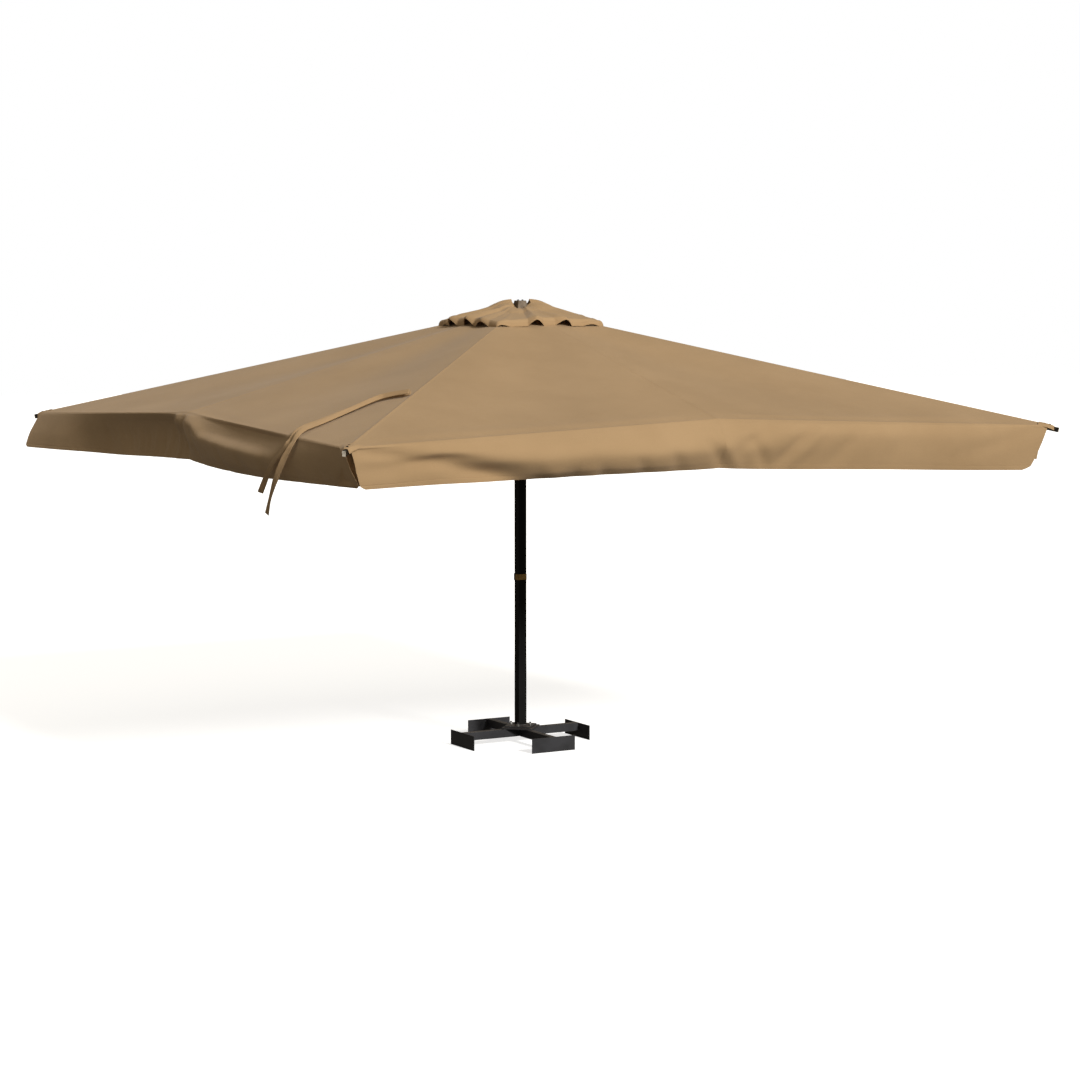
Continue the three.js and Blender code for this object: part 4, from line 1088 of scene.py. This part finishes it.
under_stops = [
    lying(0.995, 0.630, 0.010), lying(0.90, 0.668, 0.012), lying(0.828, 0.705, 0.012),
    lying(0.772, 0.800, 0.012), lying(0.728, 0.900, 0.012), lying(0.708, 0.975, 0.014),
    hanging(-2.508, -1.761, 2.205, 48), hanging(-2.538, -1.698, 2.135, 74), hanging(-2.548, -1.619, 2.073, 58),
    hanging(-2.550, -1.548, 2.008, 22), hanging(-2.544, -1.482, 1.950, 4), hanging(-2.540, -1.424, 1.896, 0),
]
over_stops = [
    lying(0.995, 0.640, 0.026), lying(0.90, 0.676, 0.025), lying(0.838, 0.715, 0.022),
    lying(0.784, 0.810, 0.018), lying(0.746, 0.910, 0.016), lying(0.732, 0.982, 0.020),
    hanging(-2.512, -1.824, 2.206, 50), hanging(-2.540, -1.811, 2.155, 40), hanging(-2.556, -1.767, 2.087, 8),
    hanging(-2.562, -1.715, 2.018, 6), hanging(-2.564, -1.669, 1.956, 42), hanging(-2.562, -1.611, 1.873, 66),
    hanging(-2.556, -1.552, 1.779, 46),
]
for name, stops, length in (("tie_tape_under", under_stops, 1.42), ("tie_tape_over", over_stops, 1.50)):
    piece = tape("canvas_" + name, stops)
    piece.data.materials.append(canvas)
    cloth_thickness(piece, TAPE_THICKNESS)
    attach(piece, "arm_front_left")
    fold_with_rib(piece)
    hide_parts(name)

# Corners. A gusset of canvas hangs behind the slit between the two valances, and a
# pocket with two eyelets slips over the rib's end, which a plastic plug closes.
CORNER_OUT = CORNER_REACH * math.sqrt(2)
RIB_FALL = math.atan2(HINGE[1] - (CORNER_Z - 0.0204), CORNER_OUT - HINGE[0])


def corner_place(direction, out, across, height):
    """Along the diagonal of a corner, across it, and up."""
    turn = DIRECTIONS.index(direction) * math.pi / 4
    c, s = math.cos(turn), math.sin(turn)
    return Vector((out * c - across * s, out * s + across * c, height))


def patch(name, columns, rows, point_at, size):
    """A small sheet of canvas over u from -1 to 1 and v from 0 to 1."""
    bm = bmesh.new()
    bmesh.ops.create_grid(bm, x_segments=columns, y_segments=rows, size=1.0)
    weave_of, edges_of = {}, {}
    for vert in bm.verts:
        u, v = vert.co.x, (vert.co.y + 1) / 2
        weave_of[vert] = (u * size[0] / 2, v * size[1])
        edges_of[vert] = (size[0] / 2 * (1 - abs(u)) + 0.004, (1 - v) * size[1] + 0.018)
        vert.co = point_at(u, v)
    cloth_maps(bm, weave_of, edges_of)
    for edge in bm.edges:
        edge.smooth = not edge.is_boundary
    return placed(name, bm)


GUSSET_SPREAD = {"front_left": 0.080}
for direction in NEIGHBOURS:
    spread = GUSSET_SPREAD.get(direction, 0.010)

    def gusset_point(u, v, spread=spread, direction=direction):
        half = 0.020 + spread * v
        out = CORNER_OUT - 0.034 - 0.070 * v - 0.030 * abs(u) - 0.012 * math.sin(3.1 * u + 4 * v)
        return corner_place(direction, out, u * half, CORNER_Z - 0.012 - 0.205 * v)

    gusset = patch("corner_gusset_" + direction, 16, 24, gusset_point, (0.10, 0.205))
    gusset.data.materials.append(canvas)
    cloth_thickness(gusset, CLOTH_THICKNESS)
    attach(gusset, "arm_" + direction)
    fold_with_rib(gusset)

    def pocket_point(u, v, direction=direction):
        out = CORNER_OUT - 0.085 + 0.098 * v
        half = 0.074 - 0.052 * v
        over = (out - HINGE[0]) * math.tan(RIB_FALL)
        wrap = 0.026 * max(0.0, abs(u) - 0.45) ** 1.3 / 0.46 * (0.3 + 0.7 * v)
        height = HINGE[1] - over + 0.0204 + 0.0050 - wrap - 0.010 * (1 - v) * abs(u) - 0.008 * v ** 4
        return corner_place(direction, out, u * half, height)

    pocket = patch("rib_pocket_" + direction, 20, 18, pocket_point, (0.10, 0.11))
    pocket.data.materials.append(canvas)
    cloth_thickness(pocket, 0.0016)
    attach(pocket, "arm_" + direction)

for direction in NEIGHBOURS:
    turn = DIRECTIONS.index(direction) * math.pi / 4
    eyelets = bmesh.new()
    for out in (CORNER_OUT - 0.014, CORNER_OUT - 0.046):
        height = HINGE[1] - (out - HINGE[0]) * math.tan(RIB_FALL) + 0.0204 + 0.0052
        profile = [
            (0.0, 0.0004), (0.0034, 0.0002), (0.0042, 0.0016), (0.0058, 0.0020), (0.0072, 0.0012),
            (0.0078, -0.0004), (0.0, -0.0006),
        ]
        ring = [eyelets.verts.new((r, 0.0, z)) for r, z in profile]
        edges = [eyelets.edges.new(pair) for pair in zip(ring, ring[1:])]
        turned = bmesh.ops.spin(
            eyelets, geom=ring + edges, cent=(0, 0, 0), axis=(0, 0, 1), dvec=(0, 0, 0),
            angle=2 * math.pi, steps=24, use_merge=True, use_duplicate=False,
        )
        made = [v for v in eyelets.verts if not v.tag]
        bmesh.ops.transform(
            eyelets, verts=made, matrix=Matrix.Rotation(turn, 4, "Z") @ Matrix.Translation((out, 0, height))
            @ Matrix.Rotation(RIB_FALL, 4, "Y"),
        )
        for vert in eyelets.verts:
            vert.tag = True
    bmesh.ops.remove_doubles(eyelets, verts=eyelets.verts, dist=2e-5)
    # The eyelets take the mast's black, which is darkened with painted shade.
    finished("pocket_eyelets_" + direction, eyelets, shade_darkened_black, "arm_" + direction, sharp=60.0)

# Rib sleeves. A strip of canvas sewn under each rib's seam, lying on the rib from the vent
# to its end, so that the closed canopy doesn't chafe on the metal.
for index, direction in enumerate(DIRECTIONS):
    kind = "corner" if "_" in direction else "side"
    end_out, cloth_out, cloth_z = RIB_END[kind]
    fall = math.atan2(HINGE[1] - (cloth_z - 0.0204), cloth_out - HINGE[0])
    first = (VENT_HALF * (math.sqrt(2) if kind == "corner" else 1.0) - HINGE[0]) / math.cos(fall)
    last = (end_out - HINGE[0]) / math.cos(fall) - (0.110 if kind == "corner" else 0.010)
    along_rib = (
        Matrix.Rotation(index * math.pi / 4, 4, "Z") @ Matrix.Translation((HINGE[0], 0, HINGE[1]))
        @ Matrix.Rotation(fall, 4, "Y")
    )

    def sleeve_point(u, v, along_rib=along_rib, first=first, last=last):
        across = max(-1.0, min(1.0, u / 0.72)) * 0.0114 + (u - max(-0.72, min(0.72, u))) * 0.002
        down = 0.0055 * (max(0.0, abs(u) - 0.66) / 0.34) ** 1.2
        return along_rib @ Vector((first + (last - first) * v, across, 0.0173 - down))

    sleeve = patch("rib_sleeve_" + direction, 10, 60, sleeve_point, (0.034, last - first))
    sleeve.data.materials.append(canvas)
    cloth_thickness(sleeve, CLOTH_THICKNESS)
    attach(sleeve, "arm_" + direction)
